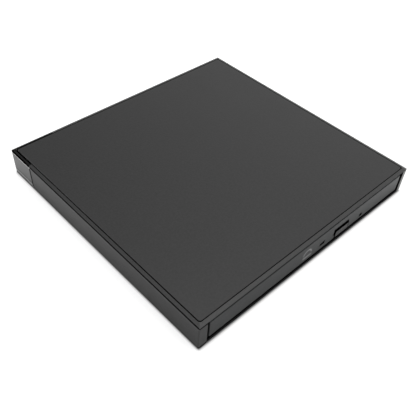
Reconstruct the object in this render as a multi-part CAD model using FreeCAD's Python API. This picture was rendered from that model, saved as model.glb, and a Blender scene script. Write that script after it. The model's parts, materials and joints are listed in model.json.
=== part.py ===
import FreeCAD, Part
import math
import os

from FreeCAD import Vector

# A slim external disc drive: a flat plastic case round a tray mechanism for 120 mm discs.
# Origin: centre of the footprint on the surface it stands on. +X right seen from the front,
# +Y to the rear, +Z up. Sizes are in millimetres.

# Case
case_width = 137.5
case_depth = 133.0
case_height = 14.6
foot_height = 0.5
foot_radius = 4.5
foot_seat_depth = 0.4
foot_inset_x = 12.0
foot_inset_y = 13.5
wall = 1.6
floor_thick = 1.2
roof_thick = 1.7
corner_round = 0.6
lower_chamfer = 0.35
pillar_left = 4.45
pillar_right = 2.9
pillar_deep = 4.0
wall_lip = 0.8
seam_gap = 0.4
rim_land = 0.15
bevel_drop = 0.55
panel_inset = 1.65
panel_thick = 0.8
panel_gap = 0.4
panel_round = 1.2
panel_chamfer = 0.12
fit_gap = 0.1
running_fit = 0.05
drive_lift = 1.05
front_land_inset = 0.8

# Heights that the rest is measured from
floor_low = foot_height
floor_top = floor_low + floor_thick
drive_low = floor_top + drive_lift

# Ribs, hooks and screws of the case. A rib or boss enters its plate by the weld.
weld = 0.3
rib_half = 0.5
floor_rib_shares = (0.12, 0.34, 0.56, 0.78)
floor_rib_clear = 2.0
long_rib_offset = 36.0
long_rib_front = 15.0
long_rib_rear = 40.0
roof_rib_shares = (0.15, 0.4, 0.65, 0.86)
roof_rib_left = 30.0
roof_rib_clear = 4.0
hook_shares = (0.2, 0.5, 0.8)
hook_thick = 0.8
hook_half = 4.0
hook_drop = 3.0
head_inset = 0.1
head_thick = 0.8
screw_head_radius = 1.6
screw_shank_radius = 0.9
screw_boss_radius = 1.8
cross_half_long = 0.9
cross_half_wide = 0.15
cross_deep = 0.4
sleeve_high = 2.3
case_screw_reach = 7.3
screw_tip_room = 0.5
mount_pad_radius = 3.0
post_radius = 1.6
post_pin_radius = 0.7
post_pin_high = 0.5
post_gap = 0.15

# Corner cover over the connector bay, and its hinge pin
bay_length = 27.25
bay_depth = 16.3
bay_wall = 1.2
bay_seam = 0.2
cover_wall = 1.4
cover_web = 1.2
cover_bottom = floor_top + 0.5
cover_rim_top = case_height - 1.65
cover_rim_thick = 0.9
cover_rim_end = 1.6
cover_rim_chamfer = 0.3
cover_under_roof = 0.25
trim_low = case_height - 1.45
trim_step_wide = 0.75
trim_step_z = case_height - 1.2
trim_front_gap = 0.6
trim_rear_end = 3.2
cover_pin_radius = 0.6
cover_pin_inset = 2.1
cover_pin_low = floor_low + 0.5
cover_pin_short = 0.3
cover_seat_radius = 1.6

# Drive mechanism: pan, top plate, bezel
drive_height = 9.45
sheet = 0.5
bezel_recess = 0.3
bezel_thick = 2.2
bezel_height = 9.4
bezel_gap = 1.43
bezel_drop = 0.1
bezel_round = 0.35
drive_side_gap = 0.25
rear_room = 4.6
flange_thick = 0.4
flange_height = 2.5
pan_wall_gap = 0.5
notch_angle = 26.8
notch_gap_x = 0.4
notch_gap_y = 1.4
pan_front_gap = 0.2
pan_slot_half_long = 8.0
pan_slot_half_wide = 1.5
pan_slot_round = 1.4
pan_slot_columns = (-14.0, 24.0)
pan_slot_rows = (28.0, 58.0, 88.0)
relief_half = 40.0
relief_front = 20.0
relief_wide = 4.0
relief_round = 1.9
relief_deep = 0.15

# Tray and disc well
tray_side_gap = 1.5
tray_rear_gap = 1.0
tray_notch_gap = 0.7
tray_base_gap = 0.35
shield_thick = 0.3
skirt_wall = 1.2
skirt_inset = 0.7
well_radius = 60.4
well_margin = 2.4
well_floor_top = drive_low + 6.05
well_floor_thick = 0.8
tray_top = drive_low + 8.25
tray_edge_round = 0.4
tray_wall = 1.4
tray_deck = 0.9
well_wall = 1.2
small_disc_radius = 40.5
small_disc_step = 0.3
scoop_radius = 10.0
scoop_offset = 1.0
scoop_rise = 0.4
scoop_floor_wide = 1.0
well_mouth_side = 15.5
well_mouth_inner = -12.0
well_mouth_outer = 64.5
well_mouth_round = 3.0
mouth_ring = 2.0
tray_travel = 126.0
tray_boss_clear = 0.5
small_shank_radius = 0.75
small_hole_radius = 0.8
small_cross_half = 0.8
small_cross_wide = 0.13
small_cross_deep = 0.2
shield_boss_radius = 2.2
shield_head_radius = 1.5
shield_head_thick = 0.2

# Telescoping rails
guide_front = 14.5
guide_rear_right = 22.0
guide_rear_left = 27.0
guide_height = 4.75
rail_front = 6.5
rail_rear = 47.5
rail_thick = 0.4
rail_flange = 1.35
rail_low = drive_low + 1.95
rail_high = drive_low + 4.55
rail_fit_z = 0.1
rail_wall_gap = 0.65
tongue_low = drive_low + 2.45
tongue_high = drive_low + 4.05
tongue_front = 8.5
tongue_rear = 3.0
tongue_clear = 0.5
guide_clear = 0.6

# Eject button, lamp window and emergency hole, from the drive's centre line
button_left = 14.65
button_right = 23.7
button_top = drive_low + 3.35
button_low = drive_low + 0.1
button_face_thick = 1.2
button_stem_inset = 1.0
button_flush = 0.02
slot_left_low = 13.65
slot_left_high = 12.65
slot_right = 24.0
slot_top = drive_low + 5.8
slot_shoulder = drive_low + 2.25
slot_shoulder_rise = 0.4
slot_corner_wide = 0.8
slot_corner_high = 1.6
button_chamfer = 0.7
lamp_left = 2.95
lamp_right = 6.1
lamp_low = drive_low + 2.45
lamp_high = drive_low + 4.3
lamp_sunk = 0.5
lamp_fit = 0.12
lamp_flange = 0.5
lamp_flange_thick = 0.3
pin_hole_x = 33.4
pin_hole_z = drive_low + 2.3
pin_hole_radius = 0.75
pin_wall_clear = 0.15
button_travel = 0.8
hollow_deep = 0.8
hollow_low = drive_low + 5.85
hollow_high = drive_low + 7.85
hollow_left = (-58.0, -8.0)
hollow_right = (30.0, 58.0)
clip_root = 0.2
clip_hook = 1.0

# Traverse unit, in its own frame: x runs along the pickup's travel, from the spindle
unit_angle = 45.0
plate_low = drive_low + 1.25
plate_thick = 0.6
plate_inner = -15.0
plate_outer = 67.8
plate_side = 18.0
plate_screw_side = -21.5
plate_round = 3.0
window_half = 12.0
window_inner = 13.0
window_end = 2.0
window_round = 2.0
rod_radius = 1.0
rod_z = plate_low + 1.85
rod_offset = 14.0
rod_inner = 10.0
rod_outer = 67.4
clamp_long = 1.6
clamp_side = 1.6
clamp_over = 1.3
screw_bearing_side = 1.8
screw_bearing_over = 1.5
screw_bearing_thick = 1.2
unit_wall_gap = 0.3
sled_start = 24.0
sled_half_long = 8.5
sled_half_wide = 11.5
sled_low = plate_low + 0.75
sled_belly = plate_low + 0.2
belly_inset = 1.0
sled_top = drive_low + 4.45
sled_travel = 33.0
eye_wide = 2.2
eye_long = 4.0
eye_drop = 0.2
follower_half = 0.9
follower_gap = 0.15
lens_radius = 2.6
lens_seat = 0.6
lens_rise = 0.5
lens_ring_wide = 0.6
lens_ring_high = 0.2
lens_top = sled_top + 0.7
holder_half_long = 4.3
holder_half_wide = 5.3
holder_low = drive_low + 2.85
holder_gap = 0.45
lens_travel = 0.5
screw_offset = -18.5
screw_radius = 0.9
thread_radius = 1.1
screw_inner = 23.5
screw_outer = 63.0
thread_pitch = 3.0
journal_share = 0.8
thread_start = 1.2
thread_end = 2.0
thread_wide = 0.8
stepper_radius = 2.1
stepper_inner = 12.0
stepper_gap = 0.3
damper_radius = 3.4
damper_waist = 1.8
damper_high = 0.8
damper_ribbon_gap = 1.0
damper_hole_gap = 0.6
boss_clear = 0.4
damper_head_radius = 2.4
damper_head_thick = 0.35
boss_radius = 2.2
ear_radius = 3.8
link_reach = 19.0
link_half = 3.0
cover_sheet = 0.5
cover_slot_inner = 16.5
cover_slot_outer = 63.5
cover_slot_half = 7.0
cover_slot_round = 1.5
cover_table_gap = 0.8
cover_holder_gap = 0.3
cover_lap = 2.0
cover_lap_inner = 2.5
cover_lap_outer = 2.1
cover_lap_side = 0.3

# Spindle
motor_radius = 12.0
motor_thick = 1.0
shaft_radius = 1.0
bearing_radius = 2.6
rotor_radius = 11.5
rotor_wall = 1.0
rotor_low = drive_low + 3.15
rotor_high = drive_low + 5.45
coil_count = 9
coil_circle = 7.0
coil_radius = 1.5
coil_gap = 0.4
bearing_gap = 0.3
shaft_gap = 0.4
table_radius = 14.0
table_top = drive_low + 6.35
ring_radius = 13.8
ring_inner = 10.8
ring_thick = 0.3
hub_radius = 7.45
hub_top = drive_low + 8.15
hub_chamfer = 0.7
hub_dish_radius = 3.0
hub_dish_deep = 0.5
claw_count = 3
claw_turn = 30.0
claw_root = 4.6
claw_half = 1.2
claw_low = 0.7
claw_high = 1.3
claw_gap = 0.08

# Boards
board_thick = 0.8
front_board_top = drive_low + 4.65
front_board_left = 11.0
front_board_right = 27.0
front_board_deep = 6.0
connector_clear = drive_low + 2.95
clip_centres = [-48.0, 46.0]
clip_half = 3.0
clip_low = drive_low + 1.45
clip_high = drive_low + 2.45
button_stem_low = drive_low + 1.15
button_stem_high = drive_low + 2.75
switch_half = 3.0
switch_deep = 3.4
switch_low = drive_low + 1.2
tip_half = 1.0
tip_low = drive_low + 1.55
tip_high = drive_low + 2.55
tip_inside = 0.4
lamp_half = 0.9
lamp_deep = 1.4
main_board_z = drive_low + 3.85
board_screw_inset = 3.0
board_head_radius = 1.6
board_head_thick = 0.5
bridge_board_z = drive_low + 2.65
bridge_board_thick = 1.0
socket_wide = 7.7
socket_long = 9.2
socket_high = 3.9
socket_sheet = 0.3
socket_round = 0.5
socket_proud = 0.6
socket_back = 1.0
socket_off_centre = 0.35
tongue_side_gap = 1.3
tongue_half_thick = 0.5
ribbon_wide = 16.0
ribbon_thick = 0.12
ribbon_from_notch = 6.5
ribbon_lower_gap = 0.1
ribbon_upper_gap = 1.2
ribbon_socket_side = 1.0
ribbon_socket_deep = 3.0
ribbon_socket_high = 1.1
ribbon_socket_under = 0.3
ribbon_set_back = 1.5
ribbon_spare = 5.0
ribbon_side_gap = 1.5
ribbon_fold_gap = 4.0
rear_relief_right = 10.0
rear_relief_front = 0.5
connector_from_spindle = 45.0
connector_long = 18.0
connector_start = 4.5

# Places that follow from the sizes above
left = -case_width / 2
right = case_width / 2
front = -case_depth / 2
rear = case_depth / 2
rim_top = case_height - bevel_drop
rim_low = rim_top - rim_land
wall_top = rim_low - seam_gap
roof_low = case_height - roof_thick
panel_low = case_height - panel_thick
bay_right = left + bay_length
bay_front = rear - bay_depth
bay_wall_x0 = bay_right + bay_seam
bay_wall_x1 = bay_wall_x0 + bay_wall
bay_wall_y1 = bay_front - bay_seam
bay_wall_y0 = bay_wall_y1 - bay_wall
cover_pin_x = bay_right - cover_pin_inset
cover_pin_y = rear - cover_pin_inset

bezel_left = left + pillar_left + bezel_gap
bezel_right = right - pillar_right - bezel_gap
bezel_face = front + bezel_recess
bezel_back = bezel_face + bezel_thick
drive_x = (bezel_left + bezel_right) / 2
drive_half = (bezel_right - bezel_left) / 2 - drive_side_gap
drive_top = drive_low + drive_height
drive_rear = rear - wall - rear_room
pan_floor_top = drive_low + sheet
pan_wall_top = drive_top - sheet - pan_wall_gap
pan_half = drive_half - sheet
notch_x = bay_wall_x1 - notch_gap_x
notch_y = bay_wall_y0 - notch_gap_y

tray_low = pan_floor_top + tray_base_gap
skirt_low = tray_low + shield_thick
tray_rear = drive_rear - sheet - tray_rear_gap
tray_half = pan_half - tray_side_gap
skirt_half = tray_half - skirt_inset
floor_under = well_floor_top - well_floor_thick
spindle_x = drive_x
spindle_y = tray_rear - well_margin / 2 - well_radius + 0.3
tray_offset = sheet + tray_notch_gap
ribbon_low = pan_floor_top + ribbon_lower_gap
ribbon_high = pan_floor_top + ribbon_upper_gap
ribbon_left = notch_x + ribbon_from_notch
ribbon_right = ribbon_left + ribbon_wide
connector_front = spindle_y + connector_from_spindle
# The ribbon folds halfway along what the open tray needs, with a little to spare.
ribbon_end = connector_front - ribbon_set_back - ribbon_socket_deep
ribbon_front = ribbon_end - (tray_travel + ribbon_spare) / 2

rail_back = pan_half - rail_wall_gap
front_board_low = front_board_top - board_thick
button_tip = bezel_back + skirt_wall + 0.6
switch_gap = button_travel + 0.1
switch_x = drive_x + (button_left + button_right) / 2
tongue_half = rail_back - rail_thick - rail_fit_z
guide_half = skirt_half + guide_clear
cover_pin_top = panel_low - cover_pin_short
head_low = floor_low + head_inset
head_high = head_low + head_thick

os.makedirs("parts", exist_ok=True)


def box(x0, x1, y0, y1, z0, z1):
    return Part.makeBox(x1 - x0, y1 - y0, z1 - z0, Vector(x0, y0, z0))


def rod(x, y, z0, z1, radius):
    return Part.makeCylinder(radius, z1 - z0, Vector(x, y, z0))


def rod_along(start, direction, length, radius):
    return Part.makeCylinder(radius, length, Vector(*start), Vector(*direction))


def tube(x, y, z0, z1, outer, inner):
    return rod(x, y, z0, z1, outer).cut(rod(x, y, z0 - 1, z1 + 1, inner))


def prism(points, z0, z1):
    loop = [Vector(x, y, z0) for x, y in points]
    face = Part.Face(Part.makePolygon(loop + loop[:1]))
    return face.extrude(Vector(0, 0, z1 - z0))


def front_prism(points, y0, y1):
    loop = [Vector(x, y0, z) for x, z in points]
    face = Part.Face(Part.makePolygon(loop + loop[:1]))
    return face.extrude(Vector(0, y1 - y0, 0))


def round_box(x0, x1, y0, y1, z0, z1, radius):
    shape = box(x0, x1, y0, y1, z0, z1)
    return round_edges(shape, radius, lambda e: upright(e))


def upright(edge):
    bounds = edge.BoundBox
    return bounds.XLength < 1e-6 and bounds.YLength < 1e-6


def at_height(edge, z):
    bounds = edge.BoundBox
    return abs(bounds.ZMin - z) < 1e-6 and abs(bounds.ZMax - z) < 1e-6


def round_edges(shape, radius, wanted):
    return shape.makeFillet(radius, [e for e in shape.Edges if wanted(e)])


def chamfer_edges(shape, size, wanted):
    return shape.makeChamfer(size, [e for e in shape.Edges if wanted(e)])


def join(shapes):
    shapes = list(shapes)
    first = shapes[0]
    return first.fuse(shapes[1:]).removeSplitter() if len(shapes) > 1 else first


def group(shapes):
    return Part.makeCompound(list(shapes))


def cut_all(shape, tools):
    tools = list(tools)
    return shape.cut(tools) if tools else shape


def save(name, shape):
    solids = shape.Solids
    volume = sum(s.Volume for s in solids)
    print(name, "solids", len(solids), "volume", round(volume, 2), "valid", shape.isValid())
    result = solids[0] if len(solids) == 1 else Part.makeCompound(solids)
    result.exportStep("parts/" + name + ".step")


def mirror_x(shape):
    return shape.mirror(Vector(drive_x, 0, 0), Vector(1, 0, 0))


def in_unit(shape):
    # The traverse unit is drawn about the spindle along X, then turned to its angle.
    turned = shape.copy()
    turned.rotate(Vector(0, 0, 0), Vector(0, 0, 1), unit_angle)
    turned.translate(Vector(spindle_x, spindle_y, 0))
    return turned


def unit_point(x, y):
    a = math.radians(unit_angle)
    across = spindle_x + x * math.cos(a) - y * math.sin(a)
    back = spindle_y + x * math.sin(a) + y * math.cos(a)
    return across, back


def corner_notch(offset, z0, z1):
    # The space that the bay and the bridge board take from the drive's rear-left corner,
    # grown towards the drive by offset.
    a = math.radians(notch_angle)
    far = case_width + case_depth
    x = notch_x + offset * math.tan(a / 2)
    y = notch_y - offset
    tip = (x + far * math.cos(a), y + far * math.sin(a))
    return prism([(x - far, y), (x, y), tip, (tip[0], y + far), (x - far, y + far)], z0, z1)


def drive_block(half, y0, y1, offset, z0, z1):
    block = box(drive_x - half, drive_x + half, y0, y1, z0, z1)
    return block.cut(corner_notch(offset, z0 - 1, z1 + 1))


def notch_line(along, out):
    # A point on the notch's slanting side, from its corner, and a distance out from the drive.
    a = math.radians(notch_angle)
    x = notch_x + along * math.cos(a) - out * math.sin(a)
    y = notch_y + along * math.sin(a) + out * math.cos(a)
    return x, y


def along_notch(shape):
    # Turns a shape drawn from the notch's corner along X onto the notch's slanting side.
    turned = shape.copy()
    turned.rotate(Vector(0, 0, 0), Vector(0, 0, 1), notch_angle)
    turned.translate(Vector(notch_x, notch_y, 0))
    return turned


# Case screws stand in the strip left of the drive and in the strip behind it.
strip_left_x = (left + wall + drive_x - drive_half - flange_thick) / 2
strip_rear_y = (drive_rear + flange_thick + rear - wall) / 2
case_screw_places = [
    (strip_left_x, front + 17.0),
    (strip_left_x, bay_wall_y0 - 19.0),
    (drive_x + 18.0, strip_rear_y),
    (drive_x + drive_half - 6.0, strip_rear_y),
]
sleeve_top = floor_top + sleeve_high
screw_top = floor_top + case_screw_reach
mount_screw_places = [
    (drive_x - drive_half + 18.0, front + 9.5),
    (drive_x + drive_half - 18.0, front + 9.5),
    (drive_x + drive_half - 18.0, drive_rear - 5.0),
]
socket_y = (bay_front + rear) / 2 - socket_off_centre
bridge_posts = [
    (bay_wall_x1 + 2.4, socket_y + socket_wide / 2 + post_pin_radius + post_gap),
    (notch_line(32.0, 0)[0], rear - wall - 2.0),
]
foot_places = [
    (sx * (right - foot_inset_x), sy * (rear - foot_inset_y)) for sx in (-1, 1) for sy in (-1, 1)
]


def case_outline(z0, z1, inset=0.0, radius=corner_round):
    return round_box(left + inset, right - inset, front + inset, rear - inset, z0, z1, radius)


def lower_case():
    outer = case_outline(floor_low, wall_top)
    outer = chamfer_edges(outer, lower_chamfer, lambda e: at_height(e, floor_low))
    hollow = box(left + wall, right - wall, front - 1, rear - wall, floor_top, case_height)
    lip = box(left + wall_lip, right - wall_lip, front - 1, rear - wall_lip, roof_low, case_height)
    opening = box(left + pillar_left, right - pillar_right, front - 1, 0, floor_top, case_height)
    bay = box(left - 1, bay_wall_x0, bay_wall_y1, rear + 1, floor_top, case_height)
    shell = outer.cut([hollow, lip, opening, bay])
    in_floor = floor_top - weld
    pillars = [
        box(left + wall / 2, left + pillar_left, front, front + pillar_deep, floor_low, roof_low),
        box(right - pillar_right, right - wall / 2, front, front + pillar_deep, floor_low, roof_low),
    ]
    caps = [
        box(left + wall_lip, left + pillar_left, front, front + wall_lip, roof_low - 1, wall_top),
        box(right - pillar_right, right - wall_lip, front, front + wall_lip, roof_low - 1, wall_top),
    ]
    pillars = [p.common(case_outline(floor_low, case_height)) for p in pillars + caps]
    bay_sides = [
        box(left + wall / 2, bay_wall_x1, bay_wall_y0, bay_wall_y1, in_floor, roof_low),
        box(bay_wall_x0, bay_wall_x1, bay_wall_y0, rear - wall / 2, in_floor, roof_low),
    ]
    ribs = []
    reach = drive_half - floor_rib_clear
    for share in floor_rib_shares:
        y = front + share * case_depth
        ribs.append(box(drive_x - reach, drive_x + reach, y - rib_half, y + rib_half, in_floor, drive_low))
    for x in (drive_x - long_rib_offset, drive_x + long_rib_offset):
        ribs.append(box(x - rib_half, x + rib_half, front + long_rib_front, rear - long_rib_rear,
                        in_floor, drive_low))
    sleeves = [rod(x, y, in_floor, sleeve_top, screw_boss_radius) for x, y in case_screw_places]
    pads = [rod(x, y, in_floor, drive_low, mount_pad_radius) for x, y in mount_screw_places]
    posts = []
    board_top = bridge_board_z + bridge_board_thick
    for x, y in bridge_posts:
        posts.append(rod(x, y, in_floor, bridge_board_z, post_radius))
        posts.append(rod(x, y, bridge_board_z - weld, board_top + post_pin_high, post_pin_radius))
    seat = rod(cover_pin_x, cover_pin_y, in_floor, cover_bottom - fit_gap, cover_seat_radius)
    shape = join([shell] + pillars + bay_sides + ribs + sleeves + pads + posts + [seat])
    cuts = [rod(x, y, floor_low - 1, floor_low + foot_seat_depth, foot_radius) for x, y in foot_places]
    for x, y in case_screw_places:
        cuts.append(rod(x, y, 0, head_high, screw_head_radius + fit_gap))
        cuts.append(rod(x, y, 0, sleeve_top + 1, screw_shank_radius + fit_gap))
    for x, y in mount_screw_places:
        cuts.append(rod(x, y, 0, head_high, screw_head_radius + fit_gap))
        cuts.append(rod(x, y, 0, drive_low + 1, screw_shank_radius + fit_gap))
    cuts.append(rod(cover_pin_x, cover_pin_y, cover_pin_low, cover_bottom + 1, cover_pin_radius))
    half = socket_wide / 2 + fit_gap
    mouth_low = board_top - fit_gap
    cuts.append(box(bay_wall_x0 - 1, bay_wall_x1 + 1, socket_y - half, socket_y + half,
                    mouth_low, mouth_low + socket_high + 2 * fit_gap))
    return shape.cut(cuts)


def top_cover():
    body = case_outline(rim_low, case_height)
    body = body.cut(bevel_ring())
    inner = case_outline(roof_low, rim_low + weld, wall_lip + fit_gap, corner_round)
    front_land = box(left + pillar_left, right - pillar_right, front + front_land_inset,
                     front + wall_lip + 1, roof_low, rim_low + weld)
    body = join([body, inner, front_land])
    recess = round_box(left + panel_inset, right - panel_inset, front + panel_inset,
                       rear - panel_inset, panel_low, case_height + 1, panel_round)
    ribs = []
    for share in roof_rib_shares:
        y = front + share * case_depth
        ribs.append(box(drive_x - roof_rib_left, drive_x + drive_half - roof_rib_clear,
                        y - rib_half, y + rib_half, drive_top, roof_low + weld))
    bosses = [rod(x, y, sleeve_top, roof_low + weld, screw_boss_radius) for x, y in case_screw_places]
    hooks = []
    hook_x = right - wall - fit_gap
    for share in hook_shares:
        y = front + share * case_depth
        hooks.append(box(hook_x - hook_thick, hook_x, y - hook_half, y + hook_half,
                         roof_low - hook_drop, roof_low + weld))
    shape = join([body.cut([recess, trim_region()])] + ribs + bosses + hooks)
    cuts = [rod(x, y, sleeve_top - 1, screw_top + screw_tip_room, screw_shank_radius)
            for x, y in case_screw_places]
    cuts.append(rod(cover_pin_x, cover_pin_y, roof_low - 1, cover_pin_top + fit_gap, cover_pin_radius))
    return shape.cut(cuts)


def trim_region():
    # The part of the top cover's rim over the corner cover, which is a black insert.
    side = box(left - 1, left + panel_inset, bay_front + trim_front_gap, rear + 1,
               roof_low - 1, case_height + 1)
    back = box(left - 1, cover_pin_x - trim_rear_end, rear - panel_inset, rear + 1,
               roof_low - 1, case_height + 1)
    return side.fuse(back)


def corner_trim():
    rim = case_outline(trim_low, case_height).cut(bevel_ring()).common(trim_region())
    step = box(left - 1, left + trim_step_wide, front, rear - trim_step_wide, trim_step_z,
               case_height + 1)
    return rim.cut(step)


def bevel_ring():
    # The shallow slope between the outer edge and the inlaid panel.
    reach = panel_inset
    outer = box(left - 2, right + 2, front - 2, rear + 2, rim_top, case_height + 1)
    low = [Vector(left, front, rim_top), Vector(right, front, rim_top),
           Vector(right, rear, rim_top), Vector(left, rear, rim_top)]
    rise = 1.0 + bevel_drop
    span = reach * rise / bevel_drop
    high = [Vector(left + span, front + span, rim_top + rise),
            Vector(right - span, front + span, rim_top + rise),
            Vector(right - span, rear - span, rim_top + rise),
            Vector(left + span, rear - span, rim_top + rise)]
    loft = Part.makeLoft([Part.makePolygon(low + low[:1]), Part.makePolygon(high + high[:1])], True, True)
    return outer.cut(loft)


def top_panel():
    inset = panel_inset + panel_gap
    panel = round_box(left + inset, right - inset, front + inset, rear - inset, panel_low,
                      case_height, panel_round)
    return chamfer_edges(panel, panel_chamfer, lambda e: at_height(e, case_height))


def corner_cover():
    outer = case_outline(cover_bottom, cover_rim_top)
    keep = box(left - 1, bay_right, bay_front, rear + 1, cover_bottom, cover_rim_top)
    block = outer.common(keep)
    web_top = roof_low - cover_under_roof
    block = block.cut(box(left + cover_rim_thick, right, front, rear - cover_rim_thick,
                          web_top, case_height))
    hollow = box(left + cover_wall, right, front, rear - cover_wall, cover_bottom + cover_web,
                 web_top - cover_web)
    block = block.cut(hollow)
    end = box(cover_pin_x, right, front, rear + 1, 0, case_height)
    knuckle = rod(cover_pin_x, cover_pin_y, cover_bottom, web_top, cover_pin_inset)
    step = box(cover_pin_x - cover_rim_end, right, front, rear + 1, web_top, case_height)
    block = join([block.cut([end, step]), knuckle])
    block = block.cut(rod(cover_pin_x, cover_pin_y, 0, case_height, cover_pin_radius + running_fit))
    return chamfer_edges(block, cover_rim_chamfer, outer_rim_edge)


def outer_rim_edge(edge):
    b = edge.BoundBox
    on_left = abs(b.XMin - left) < 1e-6 and abs(b.XMax - left) < 1e-6
    return at_height(edge, cover_rim_top) and on_left and b.YLength > 5.0


def corner_hinge_pin():
    return rod(cover_pin_x, cover_pin_y, cover_pin_low, cover_pin_top, cover_pin_radius)


def rubber_feet():
    return group(rod(x, y, 0, floor_low + foot_seat_depth, foot_radius) for x, y in foot_places)


def screw_at(x, y, low, high, tip, head_radius, shank_radius, cross_size):
    # A screw driven upwards, with a cross cut into the head's underside.
    half_long, half_wide, deep = cross_size
    head = rod(x, y, low, high, head_radius)
    cross = [box(x - half_long, x + half_long, y - half_wide, y + half_wide, low - 1, low + deep),
             box(x - half_wide, x + half_wide, y - half_long, y + half_long, low - 1, low + deep)]
    return head.fuse(rod(x, y, high, tip, shank_radius)).cut(cross)


def large_screws(places, tip):
    cross_size = (cross_half_long, cross_half_wide, cross_deep)
    return group(screw_at(x, y, head_low, head_high, tip, screw_head_radius, screw_shank_radius, cross_size)
                 for x, y in places)


def case_screws():
    return large_screws(case_screw_places, screw_top)


def drive_mount_screws():
    return large_screws(mount_screw_places, pan_floor_top)


def drive_base_pan():
    outer = drive_block(drive_half, bezel_back + pan_front_gap, drive_rear, 0, drive_low, pan_wall_top)
    hollow = drive_block(pan_half, front - 1, drive_rear - sheet, sheet, pan_floor_top, case_height)
    shape = outer.cut(hollow)
    cuts = [rod(x, y, 0, pan_floor_top + 1, screw_shank_radius) for x, y in mount_screw_places]
    gate = box(connector_start - 2 * fit_gap, connector_start + connector_long + 2 * fit_gap, -2, 2,
               pan_floor_top + board_thick - running_fit, bridge_board_z + running_fit)
    cuts.append(along_notch(gate))
    for column in pan_slot_columns:
        for row in pan_slot_rows:
            x = drive_x + column
            y = front + row
            cuts.append(round_box(x - pan_slot_half_long, x + pan_slot_half_long, y - pan_slot_half_wide,
                                  y + pan_slot_half_wide, 0, pan_floor_top + 1, pan_slot_round))
    return shape.cut(cuts)


def drive_top_plate():
    reach = drive_half + flange_thick
    y0 = bezel_back + pan_front_gap
    plate = drive_block(reach, y0, drive_rear + flange_thick, -flange_thick, drive_top - sheet, drive_top)
    skirt = drive_block(reach, y0, drive_rear + flange_thick, -flange_thick,
                        drive_top - flange_height, drive_top - sheet)
    skirt = skirt.cut(drive_block(drive_half, front - 1, drive_rear, 0, 0, case_height))
    relief = round_box(drive_x - relief_half, drive_x + relief_half, front + relief_front,
                       front + relief_front + relief_wide, drive_top - relief_deep, drive_top + 1,
                       relief_round)
    return join([plate, skirt]).cut(relief)


def guide_right():
    return guide(rear - guide_rear_right)


def guide_left():
    return mirror_x(guide(notch_y - guide_rear_left))


def guide(y1):
    x0 = drive_x + guide_half
    x1 = drive_x + pan_half
    body = box(x0, x1, front + guide_front, y1, pan_floor_top, pan_floor_top + guide_height)
    groove = box(x0 - 1, drive_x + rail_back + running_fit, front, rear,
                 rail_low - rail_fit_z, rail_high + rail_fit_z)
    return body.cut(groove)


def rail_right():
    x1 = drive_x + rail_back
    outer = box(x1 - rail_flange, x1, front + rail_front, rear - rail_rear, rail_low, rail_high)
    inner = box(x1 - rail_flange - 1, x1 - rail_thick, front, rear, rail_low + rail_thick,
                rail_high - rail_thick)
    return outer.cut(inner)


def rail_left():
    return mirror_x(rail_right())


lock_pin_x = drive_x + pan_half - 1.1
lock_pin_y = front + 11.5
lock_pin_radius = 0.9
lever_x = drive_x + 57.0
lever_y = front + 22.5
lever_low = skirt_low + running_fit
lever_high = lever_low + 0.6
lever_hub_radius = 2.2
lever_boss_radius = 2.6
lever_pivot_radius = 1.0
lever_arm_half = 1.4
lever_tip_gap = 0.15
lever_tip_slope = 0.1
lever_tip_wide = 1.2
lever_hook_low = 1.3
lever_hook_high = 4.0


def lock_pin():
    return rod(lock_pin_x, lock_pin_y, pan_floor_top, rail_low - 2 * rail_fit_z, lock_pin_radius)


def relief_band(top):
    # Clear space under the tray's rear for the fixed connector board.
    return box(notch_x - ribbon_side_gap, ribbon_right + rear_relief_right,
               connector_front - rear_relief_front, rear, 0, top)


def well_opening(z0, z1):
    slot = round_box(well_mouth_inner, well_mouth_outer, -well_mouth_side, well_mouth_side, z0, z1,
                     well_mouth_round)
    ring = rod(0, 0, z0, z1, table_radius + mouth_ring)
    return in_unit(slot.fuse(ring))


# The damper beside the spindle stays on its circle and clear of the ribbon cable.
damper_circle = 17.5
damper_dx = max(-damper_circle * math.cos(math.radians(unit_angle)),
                ribbon_right + damper_radius + damper_ribbon_gap - spindle_x)
damper_dy = -math.sqrt(damper_circle ** 2 - damper_dx ** 2)
damper_places = [(spindle_x + damper_dx, spindle_y + damper_dy), unit_point(50.0, -23.5),
                 unit_point(44.0, 21.5)]
board_x0 = drive_x - skirt_half + 7.5
board_x1 = spindle_x - 19.0
board_y0 = front + 20.0
board_y1 = spindle_y + 44.0
board_screw_places = [
    (board_x0 + board_screw_inset, board_y0 + board_screw_inset),
    (board_x1 - board_screw_inset, board_y0 + board_screw_inset),
    (board_x0 + board_screw_inset, board_y1 - board_screw_inset),
]
front_board_x0 = drive_x - front_board_left
front_board_x1 = drive_x + front_board_right
front_board_y0 = bezel_back + skirt_wall + 0.4
front_board_y1 = front_board_y0 + front_board_deep
plunger_x = drive_x + 3.0
plunger_z = drive_low + 2.85
plunger_radius = 1.2
plunger_travel = 10.0
spring_wire = 0.2
spring_pitch = 1.25
plunger_tip = drive_rear - sheet - 0.25
plunger_back = tray_rear - 21.0
plunger_head = 7.6
plunger_collar = 0.9
plunger_collar_wide = 0.55
plunger_tail_radius = 0.7
spring_clear = 0.15
spring_seat = 2.0
holder_half = 3.0
shield_screw_places = [
    (drive_x - 20.0, front + 9.0),
    (drive_x + skirt_half - 6.0, front + 36.0),
    (drive_x + 14.0, tray_rear - 6.0),
    (drive_x - skirt_half + 4.0, spindle_y + 12.0),
]
solenoid_x = lever_x - 16.0
solenoid_y = lever_y + 5.0
solenoid_half_long = 6.0
solenoid_half_wide = 4.5
solenoid_drop = 0.4
core_half = 1.0
core_long = 2.7


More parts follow.
